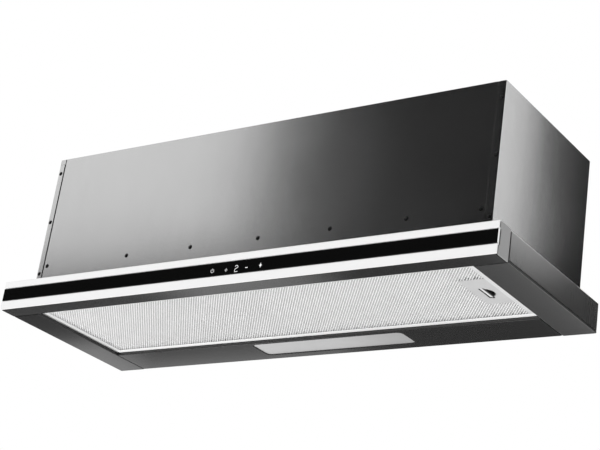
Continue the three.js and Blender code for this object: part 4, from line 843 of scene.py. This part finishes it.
# %% Expanded sheet
def expanded_sheet():
    inputs = {name: "Int" for name in ("Columns", "Rows")}
    inputs |= {name: "Float" for name in ("Pitch X", "Pitch Y", "Middle X", "Middle Y", "Height")}
    inputs |= {name: "Float" for name in ("Strand Width", "Strand Thickness", "Cross Share")}
    inputs |= {name: "Float" for name in ("Gap Left", "Gap Right", "Gap Front", "Gap Rear")}
    tree = Builder("expanded_sheet", inputs)
    columns, rows = tree.number("Columns"), tree.number("Rows")
    pitch_x, pitch_y = tree.number("Pitch X"), tree.number("Pitch Y")
    sizes = {"Size X": (columns - 1) * pitch_x, "Size Y": (rows - 1) * pitch_y}
    grid = tree.add("GeometryNodeMeshGrid", None, {**sizes, "Vertices X": columns, "Vertices Y": rows})
    middle_x, middle_y = tree.number("Middle X"), tree.number("Middle Y")
    place = tree.vector(middle_x, middle_y, tree.number("Height"))
    points = tree.moved(grid.outputs[0], translation=place)

    x, y, _ = tree.split(tree.add("GeometryNodeInputPosition").outputs[0])
    column = ((x - middle_x) / pitch_x + columns / 2).math("FLOOR")
    row = ((y - middle_y) / pitch_y + rows / 2).math("FLOOR")
    parity = (column + row).math("MODULO", 2)
    slant = (pitch_y / pitch_x).math("ARCTANGENT")
    lean = tree.vector(z=slant * (1 - parity * 2))

    inside = x.math("GREATER_THAN", tree.number("Gap Left")) * x.math("LESS_THAN", tree.number("Gap Right"))
    inside = inside * y.math("GREATER_THAN", tree.number("Gap Front"))
    inside = inside * y.math("LESS_THAN", tree.number("Gap Rear"))
    kept = tree.add("GeometryNodeDeleteGeometry", {"domain": "POINT"}, {0: points, "Selection": inside})

    # A three-sided cylinder of radius 1 is 1.5 deep and the root of 3 wide. It points down once it lies.
    sockets = {"Vertices": 3, "Radius": 1.0, "Depth": 1.0}
    bar = tree.add("GeometryNodeMeshCylinder", {"fill_type": "NGON"}, sockets)
    length = (pitch_x * pitch_x + pitch_y * pitch_y) ** 0.5
    thick, wide = tree.number("Strand Thickness") / 1.5, tree.number("Strand Width") / math.sqrt(3)
    sockets = {"rotation": (0, math.pi / 2, 0), "scale": tree.vector(thick, wide, length)}
    strand = tree.moved(bar.outputs[0], **sockets)
    share = parity * (1 - tree.number("Cross Share")) + tree.number("Cross Share")
    sockets = {"Points": kept.outputs[0], "Instance": strand, "Rotation": lean}
    sockets["Scale"] = tree.vector(1.0, share, share)
    tree.close(tree.add("GeometryNodeInstanceOnPoints", None, sockets).outputs[0])
    return tree


SHEET_RULE = expanded_sheet()
NO_GAP = (1.0, -1.0, 1.0, -1.0)
GAP_EDGE = 0.0008  # the strands come this much closer to the gap on its left


def mesh_over(name, node, low, high, height, pitch, strand, gap=NO_GAP):
    """An expanded sheet between two corners, which rides with a solid."""
    counts = [int((high[i] - low[i]) / pitch[i]) for i in range(2)]
    left, right, front, rear = gap
    values = {
        "Columns": counts[0], "Rows": counts[1], "Pitch X": pitch[0], "Pitch Y": pitch[1],
        "Middle X": (low[0] + high[0]) / 2, "Middle Y": (low[1] + high[1]) / 2, "Height": height,
        "Strand Width": strand[0], "Strand Thickness": strand[1], "Cross Share": 0.35,
        "Gap Left": left - pitch[0] / 2 + GAP_EDGE, "Gap Right": right + pitch[0] / 2,
        "Gap Front": front - pitch[1] / 2, "Gap Rear": rear + pitch[1] / 2,
        "Material": mesh_aluminium,
    }
    ride_with(grown(name, SHEET_RULE, values), node)


PITCH, STRAND, FACE_UP = (0.002325, 0.00289), (0.0011, 0.0006), 0.0012  # half a diamond each way
INNER_PITCH, INNER_STRAND, INNER_UP = (0.0042, 0.0052), (0.0016, 0.0007), 0.0013
plate_low, plate_high = corners("latch_plate")
plate_gap = (plate_low.x, plate_high.x, plate_low.y, plate_high.y)
face_height = corners("filter_frame")[0].z + FACE_UP
pad = corners("filter_mesh")
mesh_over("filter_face_mesh", "filter_frame", *pad, face_height, PITCH, STRAND, plate_gap)
inner_height = corners("inner_filter_frame")[0].z + INNER_UP
pad = corners("inner_filter_mesh")
mesh_over("inner_filter_face_mesh", "inner_filter_frame", *pad, inner_height, INNER_PITCH, INNER_STRAND)

# %% [markdown]
# ## Screws
#
# Pan-head screws with a cross recess hold the front panel, its flanges and the duct collar. Those in front
# sit on thin black washers, which are the same shape, wider and flatter: painted shade round each head.
# The head is a squashed ball with its lower half and a cross cut away, made inside the node group, and
# it is set on a list of points: the centres of the holes. The group turns each head to look out of the sheet.

# %% Screw heads
def screw_heads():
    inputs = {name: "Float" for name in ("Radius", "Dome", "Slot Width", "Slot Length", "Slot Depth")}
    tree = Builder("screw_heads", {**inputs, "Turn": "Vector"})
    radius, dome = tree.number("Radius"), tree.number("Dome")
    ball = tree.add("GeometryNodeMeshUVSphere", None, {"Segments": 24, "Rings": 10, "Radius": 1.0})
    head = tree.moved(ball.outputs[0], scale=tree.vector(radius, radius, dome))

    def brick(length, width, depth, up):
        box = tree.add("GeometryNodeMeshCube", None, {"Size": (1.0, 1.0, 1.0)}).outputs[0]
        return tree.moved(box, scale=tree.vector(length, width, depth), translation=tree.vector(z=up))

    deep = tree.number("Slot Depth")
    long, wide = tree.number("Slot Length"), tree.number("Slot Width")
    cuts = [
        brick(long, wide, deep * 2, dome),
        brick(wide, long, deep * 2, dome),
        brick(radius * 3, radius * 3, dome * 2, dome * -1),
    ]
    for tool in cuts:
        cut = tree.add("GeometryNodeMeshBoolean", {"operation": "DIFFERENCE", "solver": "EXACT"})
        tree.put(cut.inputs["Mesh 1"], head)
        tree.put(cut.inputs["Mesh 2"], tool)
        head = cut.outputs["Mesh"]
    sockets = {"Points": tree.given.outputs["Geometry"], "Instance": head}
    sockets["Rotation"] = tree.given.outputs["Turn"]
    tree.close(tree.add("GeometryNodeInstanceOnPoints", None, sockets).outputs[0])
    return tree


SCREW_RULE = screw_heads()
CROSS = {"Slot Width": 0.0008, "Slot Length": 0.0034}
SCREW = {"Radius": 0.0027, "Dome": 0.0016, "Slot Depth": 0.0008, **CROSS}
SHADE_WASHER = {"Radius": 0.0035, "Dome": 0.0004, "Slot Depth": 0.0001, **CROSS}
FORWARDS, UPWARDS = (math.pi / 2, 0.0, 0.0), (0.0, 0.0, 0.0)


def screws(name, sizes, turn, points, material, node):
    values = {**sizes, "Turn": turn, "Material": material}
    ride_with(grown(name, SCREW_RULE, values, points), node)


# The holes in front: a row of five, one more at each end of the row, and three on each flange.
ROW_HEIGHT, ROW_LEFT, ROW_STEP, ROW_END = 0.084, -0.2294, 0.1277, 0.399
FLANGE_X, FLANGE_HEIGHTS = 0.41325, (0.2517, 0.1632, 0.0717)
row_places = [ROW_LEFT + ROW_STEP * i for i in range(5)] + [-ROW_END, ROW_END]
front_places = [(x, ROW_HEIGHT) for x in row_places]
front_places += [(side * FLANGE_X, z) for side in (-1, 1) for z in FLANGE_HEIGHTS]
front_points = [(x, face, z) for x, z in front_places]
screws("front_screws", SCREW, FORWARDS, front_points, screw_steel, "front_panel")
# painted shade: the black washers stand for the shade round each screw head
screws("front_shade_washers", SHADE_WASHER, FORWARDS, front_points, foam, "front_panel")

FLANGE_THICK, SCREW_CIRCLE = 0.002, 0.081
collar_low, collar_high = corners("outlet_collar")
collar_middle, flange_top = (collar_low + collar_high) / 2, collar_low.z + FLANGE_THICK
collar_points = []
for i in range(4):
    angle = math.radians(45 + 90 * i)
    y = collar_middle.y + SCREW_CIRCLE * math.sin(angle)
    collar_points.append((SCREW_CIRCLE * math.cos(angle), y, flange_top))
screws("collar_screws", SCREW, UPWARDS, collar_points, screw_steel, "outlet_collar")

# %% [markdown]
# ## Symbols behind the glass
#
# The touch keys are symbols that shine through the black glass: power, plus, a digit, minus and a lamp.
# Flat shapes with a hair of thickness lie on the glass, which is drawn back by a few hundredths of a
# millimetre for them. Each is an outline in millimetres, seen from the front, and most are a stroke of even
# width along a line or an arc.

# %% Symbols
def stroke(points, width):
    """The outline of a line of even width."""
    left, right = [], []
    for i, (x, z) in enumerate(points):
        x0, z0 = points[max(i - 1, 0)]
        x1, z1 = points[min(i + 1, len(points) - 1)]
        size = math.hypot(x1 - x0, z1 - z0)
        across_x, across_z = -(z1 - z0) / size * width / 2, (x1 - x0) / size * width / 2
        left.append((x + across_x, z + across_z))
        right.append((x - across_x, z - across_z))
    return left + right[::-1]


def arc(x, z, radius, start, end, steps):
    turns = [math.radians(start + (end - start) * i / steps) for i in range(steps + 1)]
    return [(x + radius * math.cos(t), z + radius * math.sin(t)) for t in turns]


LINE, THIN_LINE = 1.0, 0.75
POWER, PLUS, MINUS, LIGHT = (-21.4, 23.1), (4.0, 22.1), (41.0, 22.3), (65.9, 23.3)
plus_x, plus_z = PLUS
symbols = [
    stroke(arc(*POWER, 2.7, 125, 415, 24), LINE),
    stroke([(POWER[0], POWER[1] + 0.8), (POWER[0], POWER[1] + 3.9)], LINE),
    stroke([(plus_x - 2.5, plus_z), (plus_x + 2.5, plus_z)], LINE),
    stroke([(plus_x, plus_z + LINE / 2), (plus_x, plus_z + 2.7)], LINE),
    stroke([(plus_x, plus_z - LINE / 2), (plus_x, plus_z - 2.7)], LINE),
    stroke([(MINUS[0] - 2.2, MINUS[1]), (MINUS[0] + 2.2, MINUS[1])], LINE),
]
digit = arc(22.6, 25.0, 2.6, 165, -20, 9) + arc(22.4, 20.2, 2.6, 80, 180, 5)[1:]
digit += [(19.9, 17.8), (25.4, 17.8)]
symbols.append(stroke(digit, THIN_LINE))
star = [(0, 4.0), (0.9, 1.1), (2.5, 0), (0.9, -1.1), (0, -4.0), (-0.9, -1.1), (-2.5, 0), (-0.9, 1.1)]
symbols.append([(LIGHT[0] + x, LIGHT[1] + z) for x, z in star])
symbols = [[(x / 1000, z / 1000) for x, z in outline] for outline in symbols]
SYMBOL_FRONT, SYMBOL_REAR = 0.00001, 0.00006  # behind the strip's face
pane_front = glass_low.y + SYMBOL_REAR
symbol_mesh = prisms("touch_symbols", symbols, Y, glass_low.y + SYMBOL_FRONT, pane_front)
symbol_mesh.materials.append(lit_symbol)
ride_with(added("touch_symbols", symbol_mesh), "control_glass")
print(f"{len(symbols)} outlines")

# %% [markdown]
# ## Glass band
#
# Real glass shows its ground ends pale, because light runs along the sheet, so the glass's finish is pale
# there. The pane is a softened copy, and its front is pushed back behind the symbols.

# %% Glass pane
pane = softened("control_glass", 0.00035, 3)
for vertex in pane.data.vertices:
    vertex.co.y = max(vertex.co.y, pane_front)
print("pane from", round(pane_front, 5), "with", len(pane.data.polygons), "faces")

# %% [markdown]
# ## Seals
#
# The drawer's box closes against the lower frame on a black foam strip, the side covers stand on another
# one on the rails, and the lamp panel's ends have one each. In the photograph they are black lines about
# a pixel wide, so the foam is modelled where it sits: thin bars just inside the outline. The strips are
# painted shade: black bars that stand for the shade in the seams.

# %% Foam strips
def mirrored_box(side, x0, x1, y0, y1, z0, z1):
    """The low and high corner of a box on the right, or mirrored to the left where the side is -1."""
    xs = sorted((side * x0, side * x1))
    return (xs[0], y0, z0), (xs[1], y1, z1)


def seam_shade_bars(name, boxes, node):
    """Closed bars with softened edges, from their low and high corners."""
    work = bmesh.new()
    for low, high in boxes:
        made = bmesh.ops.create_cube(work, size=1.0)["verts"]
        bmesh.ops.scale(work, vec=Vector(high) - Vector(low), verts=made)
        bmesh.ops.translate(work, vec=(Vector(high) + Vector(low)) / 2, verts=made)
        edges = {edge for vert in made for edge in vert.link_edges}
        width = min(Vector(high) - Vector(low)) * 0.25
        bmesh.ops.bevel(work, geom=list(edges), offset=width, segments=2, affect="EDGES", profile=0.5)
    mesh = closed(work, bpy.data.meshes.new(name))
    mesh.materials.append(foam)
    ride_with(added(name, mesh), node)
    print(f"{name}: {len(boxes)} bars")


HAIR, COVER_HAIR = 0.00002, 0.0001  # a strip lies this far from a sheet, and from the side covers' foot
INSET, SHORT = 0.0005, 0.001  # how far a strip lies inside the outline, and stops before its ends
CAP_STRIP, COVER_STRIP = 0.006, 0.0035  # where a strip ends, from the hood's side
LIP = 0.0012  # the height left free above and below the strips behind the end caps
RAIL_TOP = 0.003
PANEL_STRIP, REAR_STRIP = (0.0007, 0.004), (0.0008, 0.006)  # from what height to what height
behind, before = cap_high.y - SETBACK + HAIR, cover_low.y - HAIR
drawer_shade_boxes, frame_shade_boxes = [], []
for side in (-1, 1):
    outer, inner = cap_high.x - INSET, cap_high.x - CAP_STRIP
    top = cover_high.z - LIP
    drawer_shade_boxes.append(mirrored_box(side, inner, outer, behind, before, LIP, top))

    outer, inner = cover_high.x - INSET, cover_high.x - COVER_STRIP
    front, rear = cover_low.y + SHORT, cover_high.y - SHORT
    top = cover_foot - COVER_HAIR
    frame_shade_boxes.append(mirrored_box(side, inner, outer, front, rear, RAIL_TOP + HAIR, top))

    outer, inner = lamp_high.x, lamp_high.x - LAMP_SEAM + HAIR
    front, rear = lamp_low.y + SHORT, lamp_high.y - SHORT
    frame_shade_boxes.append(mirrored_box(side, inner, outer, front, rear, *PANEL_STRIP))
left, right = under_low.x + SHORT, under_high.x - SHORT
front, rear = under_high.y - DRAWER_SEAM + HAIR, under_high.y
drawer_shade_boxes.append(((left, front, REAR_STRIP[0]), (right, rear, REAR_STRIP[1])))
# painted shade: black bars that stand for the shade in the seams
seam_shade_bars("drawer_seam_shade", drawer_shade_boxes, "end_cap_right")
seam_shade_bars("side_cover_seam_shade", frame_shade_boxes, "lower_side_right")
